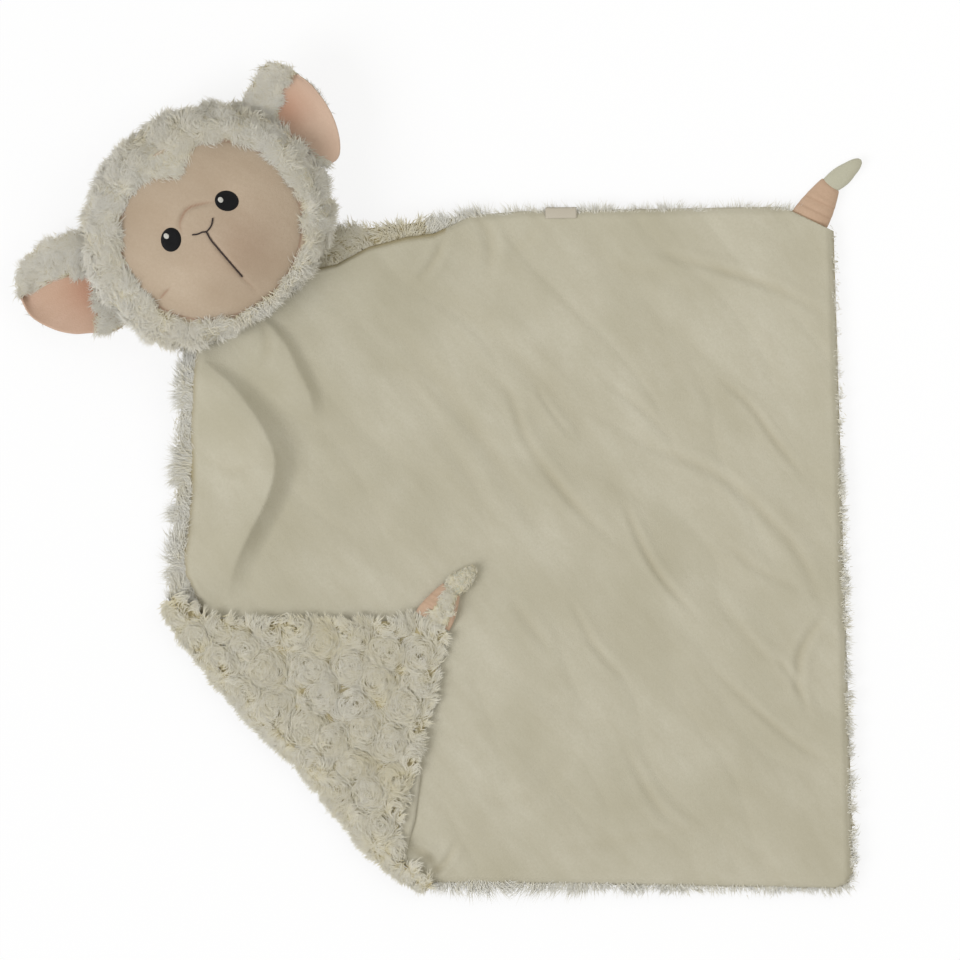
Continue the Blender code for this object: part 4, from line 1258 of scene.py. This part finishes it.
def tube_point(path, along, around, half_width, half_thick):
    """A place on the paw's skin. Around is 0 at its left side, 0.25 on top and 0.75 below."""
    middle, side = path(along)
    angle = 2 * math.pi * around
    plan = middle + side * half_width * math.cos(angle)
    tucked = paw_tuck * float(ease(along / paw_tuck_length))
    return Vector((*plan, paw_middle_z + tucked + half_thick * math.sin(angle)))


def paw_skin(path, turned, first, last, start, end, width_at):
    """Makes a place function for part of a paw between two distances and two shares round it."""

    def place(across, up):
        along = first + (last - first) * up
        width, thick = width_at(along)
        point = tube_point(path, along, start + (end - start) * across, width, thick)
        if turned:
            plan = turned_over(np.array((point.x, point.y)))
            point = Vector((*plan, 2 * fold_z - point.z))
        return point

    return place


def cuff_size(along):
    """The cuff is flat where it is sewn in, puffs out, and is drawn in at its wrist in wrinkles."""
    share = min(max(along / cuff_length, 0), 1)
    width = paw_base_width + (paw_wrist_width - paw_base_width) * share**1.5
    wrinkle = 0
    for middle, depth, pitch, spread in wrinkles:
        past = along - middle * MM
        wrinkle += depth * MM * math.cos(past / (pitch * MM)) * bell(past, spread * MM)
    puff = 0.45 + 0.55 * math.sin(math.pi / 2 * min(max(along, 0) / puff_length, 1))
    tuck = 1 - 0.3 * max((share - 0.9) / 0.1, 0) ** 2
    return (width / 2 + 0.3 * wrinkle) * (1 - 0.08 * (1 - tuck)), (paw_thick / 2 * puff + wrinkle) * tuck


def hoof_size(along):
    """The hoof is drawn in at the wrist's seam, fullest in its first half, and tapers to a blunt tip."""
    share = min(max((along - cuff_length) / hoof_length, 0), 1)
    full = (1 - share**2.8) ** 0.5 * (0.9 + 0.1 * math.sin(math.pi * min(share * 1.6, 1)))
    return hoof_width / 2 * full, paw_thick / 2 * (0.2 + 0.72 * full) * (1 - share**6) ** 0.5


def outward_faces(mesh):
    """Turns a rounded skin's faces away from its middle."""
    mesh.normal_update()
    bmesh.ops.recalc_face_normals(mesh, faces=mesh.faces)
    centre = sum((vertex.co for vertex in mesh.verts), Vector()) / len(mesh.verts)
    facing = 0
    for face in mesh.faces:
        facing += face.normal.dot(face.calc_center_median() - centre) * face.calc_area()
    if facing < 0:
        bmesh.ops.reverse_faces(mesh, faces=mesh.faces)


def make_paw(side, corner_name, cuff_turn, hoof_turn, wrap, roll, slid, shortened, turned):
    """Makes a paw's cuff and hoof. The peach cloth wraps round its sides, rolled about its length."""
    path = paw_path(corner_name, cuff_turn, hoof_turn, slid, shortened)
    base, outward = paw_seat(corner_name)
    low, high = roll - wrap, 0.5 + roll + wrap
    cuff = (-paw_sewn_in, cuff_length)
    hoof = (cuff_length - hoof_tuck, cuff_length + hoof_length)
    parts = (
        ("peach_cuff", (32, 44), (*cuff, low, high, cuff_size), "peach_velour", ["front"]),
        ("cream_cuff", (28, 44), (*cuff, high, low + 1, cuff_size), "cream_plush", ["back", "stuffing"]),
        ("cream_hoof", (40, 36), (*hoof, 0, 1, hoof_size), "cream_velour", ["hoof"]),
    )
    pieces = []
    for label, cells, span, slot, nodes in parts:
        peach = slot == "peach_velour"
        skin = grid_mesh(*cells, paw_skin(path, turned, *span))
        piece = finished(f"paw_{side}_{label}", skin, peach_velour if peach else hoof_velour, outward_faces)
        plan = plan_of(piece.data.vertices)
        along = ((turned_over(plan) if turned else plan) - base) @ outward
        # Painted shade in the cuff's wrinkles, on the peach cloth only.
        lines = sum(bell(along - at, wrinkle_shade_width) for at in wrinkle_shade_places)
        mark(piece.data, "crease", 0.22 * lines * peach)
        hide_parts(*(f"paw_{side}_{node}" for node in nodes))
        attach(piece, f"paw_{side}")
        pieces.append(piece)
    return pieces


make_paw("right", "top_right", math.radians(-6), math.radians(-25), 0.07, 0, 2.6 * MM, 1, False)
folded_paw = make_paw("left", "bottom_left", math.radians(2), math.radians(17), 0.17, 0.04, 0, 0.82, True)
random = np.random.default_rng(37)
for piece, tufts, reach in ((folded_paw[1], 170, 4.4), (folded_paw[2], 170, 2.2)):
    paw_places, paw_normals = scatter(piece, tufts, random)
    upper = paw_normals[:, 2] > 0.2
    fuzz = swirled_pile(
        piece.name + "_pile",
        paw_places[upper],
        paw_normals[upper],
        random,
        spacing=9 * MM,
        length=reach * MM,
        width=0.5 * MM,
        lift=0.3,
        dome=0,
        loose=0.8,
    )
    for strands in fuzz:
        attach(strands, "paw_left")

# Head
# A stuffed fur hood round a face opening, over a fur back that it lies on. The same rosette plush
# covers both, and its pile hangs over the face's edge and down past the head's sides.
hood_base_z = 20.15 * MM
hood_top_z = 50 * MM
hood_side_z = 37 * MM
head_back_z = 3 * MM
fur_depth = 4 * MM
face_half_width = 50 * MM
face_half_height = 47 * MM
face_below_centre = 7.5 * MM
face_centre = head_centre - head_up * face_below_centre
face_seam_z = 44.6 * MM
face_crown = 11 * MM
face_midline = -2 * MM
face_clearance = 0.5 * MM
muzzle_rise = 6 * MM
muzzle_below = 16 * MM
muzzle_half_width = 24 * MM
muzzle_half_height = 17 * MM
eye_spacing = 36.6 * MM
eye_above = 8.1 * MM
eye_socket_depth = 1.9 * MM
eye_socket_width = 8 * MM
opening_gap = 1.4 * MM
opening_roundness = 2.2
# The forelock and the brow that hang into the opening, in millimetres: their drop, middle and width.
forelocks = ((9, 4, 12), (2, 5, 26))
# The hood's and the back's profiles: shares of the way out, and of the way up there.
hood_out_shares = (0, 0.05, 0.17, 0.38, 0.65, 0.88, 1)
hood_up_shares = (0, 0.32, 0.58, 0.80, 0.95, 1, 0.90)
back_out_shares = (0, 0.45, 0.64, 0.80, 0.92, 0.985, 1)
back_up_shares = (0, 0, 0, 0.14, 0.42, 0.75, 1)
low_pile_z = 34 * MM
low_pile_depth = 14 * MM
face_rim_share = 1.14
head_pile_hexes = ("#cbc1a0", "#dcd8ca", "#e5e3db", "#dad0b2")


def superellipse(angle, half_width, half_height, roundness):
    across = math.copysign(abs(math.cos(angle)) ** (2 / roundness), math.cos(angle))
    up = math.copysign(abs(math.sin(angle)) ** (2 / roundness), math.sin(angle))
    return across * half_width, up * half_height


def head_outline(angle, inset=0):
    roundness = crown_roundness if math.sin(angle) > 0 else chin_roundness
    across, up = superellipse(angle, head_half_width - inset, head_half_height - inset, roundness)
    return head_centre + head_right * across + head_up * up


def face_height(across, up):
    """The face's surface over places given from its centre."""
    share = np.hypot(across / face_half_width, up / face_half_height)
    height = face_seam_z + face_crown * (1 - np.minimum(share, 1) ** 2.6)
    side = (across - face_midline) / muzzle_half_width
    below = (up + muzzle_below) / muzzle_half_height
    height += muzzle_rise * np.exp(-(side**2) - below**2) * ease(share**4)
    for eye in (-1, 1):
        from_eye = np.hypot(across - face_midline - eye * eye_spacing / 2, up - eye_above)
        height -= eye_socket_depth * bell(from_eye, eye_socket_width)
    return height


def hood_opening(angle):
    """The hood's inner edge: just outside the face's seam, but low over the forehead."""
    half_width, half_height = face_half_width + opening_gap, face_half_height + opening_gap
    across, up = superellipse(angle, half_width, half_height, opening_roundness)
    if up > 0:
        up -= sum(drop * MM * bell(across - middle * MM, width * MM) for drop, middle, width in forelocks)
    return face_centre + head_right * across + head_up * up


def profile(up, out_shares, up_shares):
    """How far out and how far up a skin has come at a share of the way along it."""
    steps = np.linspace(0, 1, len(out_shares))
    return float(np.interp(up, steps, out_shares)), float(np.interp(up, steps, up_shares))


def hood_point(around, up):
    """A place on the hood, which rests on the face's edge in its inner part."""
    angle = 2 * math.pi * around
    out, rise = profile(up, hood_out_shares, hood_up_shares)
    plan = head_outline(angle, fur_depth) * (1 - out) + hood_opening(angle) * out
    height = hood_base_z + rise * (hood_top_z - hood_base_z - fur_depth)
    away = plan - face_centre
    over_face = face_height(away @ head_right, away @ head_up) + face_clearance
    resting = min(max((out - 0.45) / 0.2, 0), 1)
    return Vector((*plan, height + resting * max(over_face - height, 0)))


def back_point(around, up):
    """A place on the head's back, from the middle that it lies on to its side seam."""
    out, rise = profile(up, back_out_shares, back_up_shares)
    plan = head_centre * (1 - out) + head_outline(2 * math.pi * around, fur_depth) * out
    return Vector((*plan, head_back_z + rise * (hood_base_z - head_back_z)))


hood = finished("head_hood_cloth", grid_mesh(120, 18, hood_point), backing_finish, outward_faces)
back = finished("head_back_cloth", grid_mesh(96, 16, back_point), backing_finish, outward_faces)


def combed_over_head(places, normals):
    """Pile near the face lies in over its edge, and pile low on the sides lies down and out."""
    away = places[:, :2] - face_centre
    across, up = away @ head_right / face_half_width, away @ head_up / face_half_height
    from_face = np.hypot(across, up)
    outward = normalised(np.column_stack([away, np.zeros(len(places))]))
    low = np.clip((low_pile_z - places[:, 2]) / low_pile_depth, 0, 1)
    near = np.clip((face_rim_share - from_face) / 0.12, 0, 1)
    inward = near * np.clip(0.2 + up, -0.35, 0.9)
    wish = outward * (low - inward)[:, None]
    wish[:, 2] -= 0.3 * low
    return normalised(wish + 1e-6), np.clip(np.maximum(0.7 * near, 0.55 * low), 0, 0.8)


random = np.random.default_rng(47)
head_pile_finish = polyester_pile("head_polyester_pile", *head_pile_hexes)
hood_places, hood_normals = scatter(hood, 8200, random)
low_pile = hood_places[:, 2] < hood_side_z
hood_normals = normalised(hood_normals + (0, 0, 0.8))
hood_pile = swirled_pile(
    "head_hood_pile",
    hood_places[~low_pile],
    hood_normals[~low_pile],
    random,
    spacing=12 * MM,
    length=6 * MM,
    width=0.45 * MM,
    lift=0.34,
    dome=1.0 * MM,
    lean=combed_over_head,
    fibres=10,
    loose=0.9,
    pieces=3,
    finish=head_pile_finish,
    clump=0.2,
    ragged=1.7,
)
thinned = low_pile & (random.random(len(hood_places)) < 0.4)
side_pile = swirled_pile(
    "head_side_pile",
    hood_places[thinned],
    hood_normals[thinned],
    random,
    spacing=13 * MM,
    length=7 * MM,
    width=0.7 * MM,
    lift=0.55,
    dome=1.2 * MM,
    lean=combed_over_head,
    fibres=7,
    loose=0.8,
    finish=head_pile_finish,
    clump=0.3,
    ragged=1.5,
)
back_places, back_normals = scatter(back, 1700, random)
back_pile = swirled_pile(
    "head_back_pile",
    back_places,
    back_normals,
    random,
    spacing=15 * MM,
    length=8 * MM,
    width=1.4 * MM,
    lift=0.22,
    dome=0.4 * MM,
    fibres=5,
    finish=head_pile_finish,
)
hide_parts("head_hood")
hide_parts("head_back", "head_stuffing")
for piece in (hood, back, *hood_pile, *side_pile, *back_pile):
    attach(piece, "head")

# Face
# One oval of peach velour set into the hood and stuffed from behind: a full muzzle with a seam down
# its middle, eyes drawn in by their stitches, and a pleat over the nose.
brow_pleat = np.array(((-13, 9), (-11, 13), (-6, 16), (-1.6, 16.6), (4, 14.6), (10.5, 11))) * MM
cheek_pleat = np.array(((-36.9, -10.9), (-41, -11.5), (-44.9, -12.4))) * MM
muzzle_seam = np.array(((-2.6, 1), (-3.1, -9), (-2.1, -30), (-0.9, -41))) * MM
# Each pleat or seam: its line, its depth and width, and how dark the painted shade in it is.
face_lines = (
    (brow_pleat, 1.8 * MM, 1.4 * MM, 0.6),
    (cheek_pleat, 1.2 * MM, 1.4 * MM, 0.5),
    (muzzle_seam, 1.2 * MM, 1.2 * MM, 0.35),
)
pleat_shade_width = 0.55 * MM
seam_shade_share = 0.012
# Painted shade on the muzzle's right side, which turns away from the key lamp.
muzzle_shade_place = (10 * MM, -17 * MM)
muzzle_shade_width = 20 * MM
face_margin = 4 * MM
face_thick = 1.5 * MM
face_peach_hexes = ("#bca992", "#c5b49e", "#aa967f")


def face_folds(places):
    """The depth of the face's seam and pleats, and the painted shade in them and on the muzzle's right side.
    """
    depth = np.zeros(len(places))
    dark = np.zeros(len(places))
    for line, deep, wide, shade in face_lines:
        distance, share = line_distance(places, smooth_line(line))
        fade = np.sin(np.pi * np.clip(share, 0.03, 0.97)) ** 0.5
        depth += deep * fade * bell(distance, wide)
        dark = np.maximum(dark, shade * fade * bell(distance, pleat_shade_width))
    from_shade_middle = np.hypot(places[:, 0] - muzzle_shade_place[0], places[:, 1] - muzzle_shade_place[1])
    return depth, np.maximum(dark, 0.2 * bell(from_shade_middle, muzzle_shade_width))


def face_plan(across, up):
    """Wraps a square of shares into the face's oval."""
    x, y = 2 * across - 1, 2 * up - 1
    return x * math.sqrt(1 - y * y / 2), y * math.sqrt(1 - x * x / 2)


def face_point(across, up):
    x, y = face_plan(across, up)
    return Vector((x * (face_half_width + face_margin), y * (face_half_height + face_margin), 0))


face_mesh = grid_mesh(130, 130, face_point)
face_places = plan_of(face_mesh.verts)
fold_depth, face_painted_shade = face_folds(face_places)
face_z = face_height(*face_places.T) - fold_depth
seam_share = np.hypot(face_places[:, 0] / face_half_width, face_places[:, 1] / face_half_height)
face_xy = face_centre + face_places[:, :1] * head_right + face_places[:, 1:] * head_up
set_heights(face_mesh, face_xy, face_z)
face_velour = short_velour("peach_velour_face", face_peach_hexes, math.radians(-30), "#8a5a44")
face = finished("face_panel", face_mesh, face_velour)
# Painted shade in the pleats, down the muzzle's seam, on the muzzle's right side and along the outer seam.
mark(face.data, "crease", np.maximum(face_painted_shade, 0.45 * bell(seam_share - 1, seam_shade_share)))
give_thickness(face, face_thick)
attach(face, "head")
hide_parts("head_face")

# Eyes, nose and mouth
# Satin-stitched ovals in black rayon with a white glint each, and one line of brown thread for the
# nose and mouth, pulled tight so that it sinks into the nap.
eye_long = 13 * MM
eye_wide = 11 * MM
eye_lean = math.radians(40)
eye_lift = 0.1 * MM
eye_padding = 1.0 * MM
glint_across = 3.2 * MM
glint_lift = 1.1 * MM
glint_padding = 0.35 * MM
stitch_thick = 0.3 * MM
stitch_pitch = 0.45 * MM
stitch_relief = 0.15 * MM
thread_radius = 0.42 * MM
thread_stitch = 3.2 * MM
thread_twist = 1.6 * MM
black_hex = "#0b0c0f"
glint_hex = "#e6e4dc"
brown_hexes = ("#241a18", "#3a2a26")


def on_face(across, up, above=0):
    """A place on the face's cloth, from its centre, or some way above it."""
    depth = face_folds(np.array([(across, up)]))[0][0]
    height = float(face_height(np.array([across]), np.array([up]))[0]) - depth + above
    plan = face_centre + head_right * across + head_up * up
    return Vector((*plan, height))


def satin_stitch(name, code, turn):
    """Rayon satin stitch: a hard fine sheen along threads 0.45 mm apart."""
    finish, tree, shader = new_finish(name)
    place = add_node(tree, "TexCoord").outputs["Object"]
    turned = add_node(tree, "Mapping", {}, {"Vector": place, "Rotation": (0, 0, turn)})
    lines = {"Vector": turned.outputs[0], "Scale": 1 / (stitch_pitch * wave_bands)}
    lines.update({"Distortion": 0.6, "Detail": 1})
    threads = add_node(tree, "TexWave", {"bands_direction": "X"}, lines).outputs["Fac"]
    dark = [0.6 * value for value in linear(code)[:3]]
    colour = add_node(tree, "Mix", {"data_type": "RGBA"}, {0: threads, 6: (*dark, 1), 7: linear(code)})
    bump = add_node(tree, "Bump", {}, {"Height": threads, "Distance": stitch_relief, "Strength": 0.8})
    set_inputs(tree, shader, {"Base Color": colour.outputs[2], "Normal": bump.outputs[0]})
    set_inputs(tree, shader, {"Roughness": 0.5, "Specular IOR Level": 0.25})
    return finish


def stitched_oval(name, centre, long, wide, lean, lift, padding, finish, node):
    """A padded oval of satin stitch, rounded over at its edge."""

    def place(across, up):
        x, y = face_plan(across, up)
        share = min(math.hypot(x, y), 1)
        x, y = x * wide / 2, y * long / 2
        turned = (x * math.cos(lean) - y * math.sin(lean), x * math.sin(lean) + y * math.cos(lean))
        return on_face(centre[0] + turned[0], centre[1] + turned[1], lift + padding * (1 - share**4))

    item = finished(name, grid_mesh(28, 28, place), finish)
    give_thickness(item, stitch_thick)
    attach(item, "head")
    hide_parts(node)
    return item


black_stitch = satin_stitch("black_rayon_satin_stitch", black_hex, math.radians(60))
white_stitch = satin_stitch("white_rayon_satin_stitch", glint_hex, math.radians(20))
eye_places = {
    "left": ((-20.1 * MM, 9.1 * MM), -eye_lean, (-20.9 * MM, 12.2 * MM)),
    "right": ((16.5 * MM, 7.1 * MM), eye_lean, (14.2 * MM, 9.6 * MM)),
}
for side, (centre, lean, glint) in eye_places.items():
    oval = (centre, eye_long, eye_wide, lean, eye_lift, eye_padding)
    eye = stitched_oval(f"stitched_eye_{side}", *oval, black_stitch, f"eye_{side}")
    oval = (glint, glint_across, glint_across * 0.85, 0, glint_lift, glint_padding)
    shine = stitched_oval(f"stitched_glint_{side}", *oval, white_stitch, f"eye_glint_{side}")


def sewing_thread():
    """Twisted cotton thread: dark and dull, with its twist showing as slanting ribs."""
    finish, tree, shader = new_finish("brown_embroidery_cotton")
    place = add_node(tree, "TexCoord").outputs["Object"]
    ribs = {"Vector": place, "Scale": 1 / thread_twist}
    twist = add_node(tree, "TexWave", {"bands_direction": "DIAGONAL"}, ribs)
    tints = {0: twist.outputs["Fac"], 6: linear(brown_hexes[0]), 7: linear(brown_hexes[1])}
    colour = add_node(tree, "Mix", {"data_type": "RGBA"}, tints)
    set_inputs(tree, shader, {"Base Color": colour.outputs[2], "Roughness": 0.7})
    return finish


def lengths_along(line):
    """How far along a line each of its points lies."""
    return np.concatenate([[0], np.cumsum(np.linalg.norm(np.diff(line, axis=0), axis=1))])


def stitched_line(name, points, finish, node):
    """A line of thread laid on the face, dipping where each stitch goes in."""
    line = smooth_line(np.array(points) * MM, 14)
    curve = bpy.data.curves.new(name, "CURVE")
    curve.dimensions = "3D"
    curve.bevel_depth = thread_radius
    curve.bevel_resolution = 2
    curve.use_fill_caps = True
    spline = curve.splines.new("POLY")
    spline.points.add(len(line) - 1)
    for point, (across, up), length in zip(spline.points, line, lengths_along(line)):
        dip = abs(math.sin(math.pi * length / thread_stitch)) ** 0.5
        point.co = (*on_face(across, up, thread_radius * (0.4 + 0.9 * dip)), 1)
    laid = bpy.data.objects.new(name, curve)
    bpy.context.collection.objects.link(laid)
    data = bpy.data.meshes.new_from_object(laid)
    bpy.data.objects.remove(laid)
    data.shade_smooth()
    item = shown(name, data, finish)
    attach(item, "head")
    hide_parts(node)


brown_thread = sewing_thread()
thread_lines = {
    "nose": ((-9.3, 4.0), (-7.0, 2.6), (-4.4, 1.9), (-2.5, 0.8), (-0.4, 1.0), (2.2, 2.0), (4.9, 4.4)),
    "mouth": ((-2.5, 0.8), (-3.2, -4.1), (-3.1, -9.1), (-2.6, -20), (-2.1, -30.3)),
}
for part, points in thread_lines.items():
    stitched_line(f"{part}_thread", points, brown_thread, f"{part}_stitching")

# Ears
# A leaf of plush lined with peach velour, sewn into the head's side seam. The plush rolls over the
# upper edge onto the front, so the lining shows only below it. The right ear curls up.
ear_cloth = 0.9 * MM
ear_columns, ear_rows = 30, 40
ear_droop = 3 * MM
ear_shade_width = 13 * MM
# The right ear's lining is painted lighter than the left's, as painted light where the head's shadow falls on
# it.
ear_tones = {
    "left": ("#caab93", "#d4b6a1", "#be9b82"),
    "right": ("#d2b7a1", "#dbc2ad", "#c7a991"),
}
# Each line of an ear's outline lies at a share of the way from its lower to its upper edge.
ear_sides = {"lower": 0, "seam": 0.6, "upper": 1}
# Each sheet of an ear: the two lines it lies between, how far it is raised, its puff and its inset.
ear_sheets = {
    "velour": ("lower", "seam", 0, -1.5 * MM, 0),
    "cloth": ("lower", "upper", -4 * MM, -2 * MM, 0.12),
    "roll": ("seam", "upper", 0.4 * MM, 1.6 * MM, 0),
}
ear_shapes = {
    "left": {
        "lower": (
            *((-58, -15), (-71.8, -18.6), (-86.8, -9.7), (-93.5, -4.8)),
            *((-100.1, 3.6), (-105, 16), (-103, 28)),
        ),
        "seam": ((-50, 10), (-58, 12.5), (-66.4, 16.1), (-80, 23.3), (-91.2, 26.6), (-102, 29)),
        "upper": ((-48, 30), (-58, 36), (-71.5, 41.5), (-84, 42.3), (-94, 39.5), (-99.5, 34.5), (-102.5, 29)),
        "root_z": 22,
        "tip_drop": 11,
        "rim": 3,
        "painted_shade_middle": (-70, 8),
        "furred": ((-67, 8), (-83, -12)),
    },
    "right": {
        "lower": ((56, -13), (68, -17), (77, -19), (83, -14), (88, -4), (90.5, 7.4), (90.5, 20), (88, 30)),
        "seam": ((48, 9), (57, 13), (66, 20.8), (75, 29.5), (81.5, 32), (87.5, 31)),
        "upper": ((44, 27.5), (56, 34.5), (67, 40.3), (76.5, 44), (83.5, 40), (87.5, 32)),
        "root_z": 27,
        "tip_drop": -10,
        "rim": 3,
        "painted_shade_middle": (71, 19),
        "furred": ((60, 4), (72, -17)),
    },
}


def resampled(points, count):
    """Points at even steps along a smooth line through some millimetres."""
    line = smooth_line(np.array(points, float))
    lengths = lengths_along(line)
    steps = np.linspace(0, lengths[-1], count)
    return np.column_stack([np.interp(steps, lengths, line[:, axis]) for axis in range(2)]) * MM


def ear_sheet(shape, lower, upper, raised, puff, inset):
    """Part of an ear between two of its lines, cupped at the rim and lifted or dropped at the tip."""
    low_line, high_line = (resampled(shape[line], ear_rows + 1) for line in (lower, upper))
    low_side, high_side = ear_sides[lower], ear_sides[upper]

    def place(across, out):
        pocket = min(4 * across, 4 * (1 - across), 4 * (1 - out), 1)
        apart = raised * max(pocket, 0.25) if raised < 0 else raised
        across = inset + (1 - inset) * across
        opened = min(out * 3, 1)
        row = round(out * ear_rows)
        spot = low_line[row] * (1 - across) + high_line[row] * across
        plan = head_centre + head_right * spot[0] + head_up * spot[1]
        side = low_side + (high_side - low_side) * across
        height = shape["root_z"] * MM - shape["tip_drop"] * MM * out**1.5 - ear_droop * out
        height += shape["rim"] * MM * (2 * side - 1) ** 2 * opened
        return Vector((*plan, height + apart + puff * math.sin(math.pi * across) * opened))

    return grid_mesh(ear_columns, ear_rows, place)


ear_velours = {
    "left": short_velour("peach_velour_left_ear", ear_tones["left"], math.radians(35), "#b5775a"),
    "right": short_velour("peach_velour_right_ear", ear_tones["right"], math.radians(-60), "#b97b5e"),
}
for side, shape in ear_shapes.items():
    sign = -1 if side == "left" else 1
    sheets = []
    for part, cut in ear_sheets.items():
        cloth = ear_velours[side] if part == "velour" else backing_finish
        sheets.append(finished(f"ear_{side}_{part}", ear_sheet(shape, *cut), cloth, faces_up))
    lining, shell, roll = sheets
    # Painted shade, darker salmon, in the lining's inner fold.
    middle = np.array(shape["painted_shade_middle"]) * MM
    middle = head_centre + head_right * middle[0] + head_up * middle[1]
    from_shade_middle = np.linalg.norm(plan_of(lining.data.vertices) - middle, axis=1)
    mark(lining.data, "crease", 0.5 * bell(from_shade_middle, ear_shade_width))
    random = np.random.default_rng(53 if sign < 0 else 59)
    tip_way = np.array((*(head_right * sign), 0))

    def combed_along_ear(places, normals, tip_way=tip_way):
        return np.tile(tip_way, (len(places), 1)), np.full(len(places), 0.35)

    start, end = (head_centre + (head_right * across + head_up * up) * MM for across, up in shape["furred"])
    inward = np.array((start[1] - end[1], end[0] - start[0]))
    inward *= np.sign(inward @ (head_centre - start))
    root, root_normals = scatter(lining, 900, random)
    at_root = (root[:, :2] - start) @ inward > 0
    below, below_normals = scatter(shell, 550, random)
    above, above_normals = scatter(roll, 700, random)
    below[:, 2] -= ear_cloth
    ear_pile = swirled_pile(
        f"ear_{side}_pile",
        np.vstack([below, above, root[at_root]]),
        np.vstack([-below_normals, above_normals, root_normals[at_root]]),
        random,
        spacing=11 * MM,
        length=4.8 * MM,
        width=0.45 * MM,
        lift=0.3,
        dome=0.8 * MM,
        lean=combed_along_ear,
        fibres=10,
        finish=head_pile_finish,
        clump=0.2,
        ragged=1.5,
    )
    for sheet in sheets:
        give_thickness(sheet, ear_cloth)
    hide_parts(f"ear_{side}_lining")
    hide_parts(f"ear_{side}_plush")
    for piece in (*sheets, *ear_pile):
        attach(piece, f"ear_{side}")
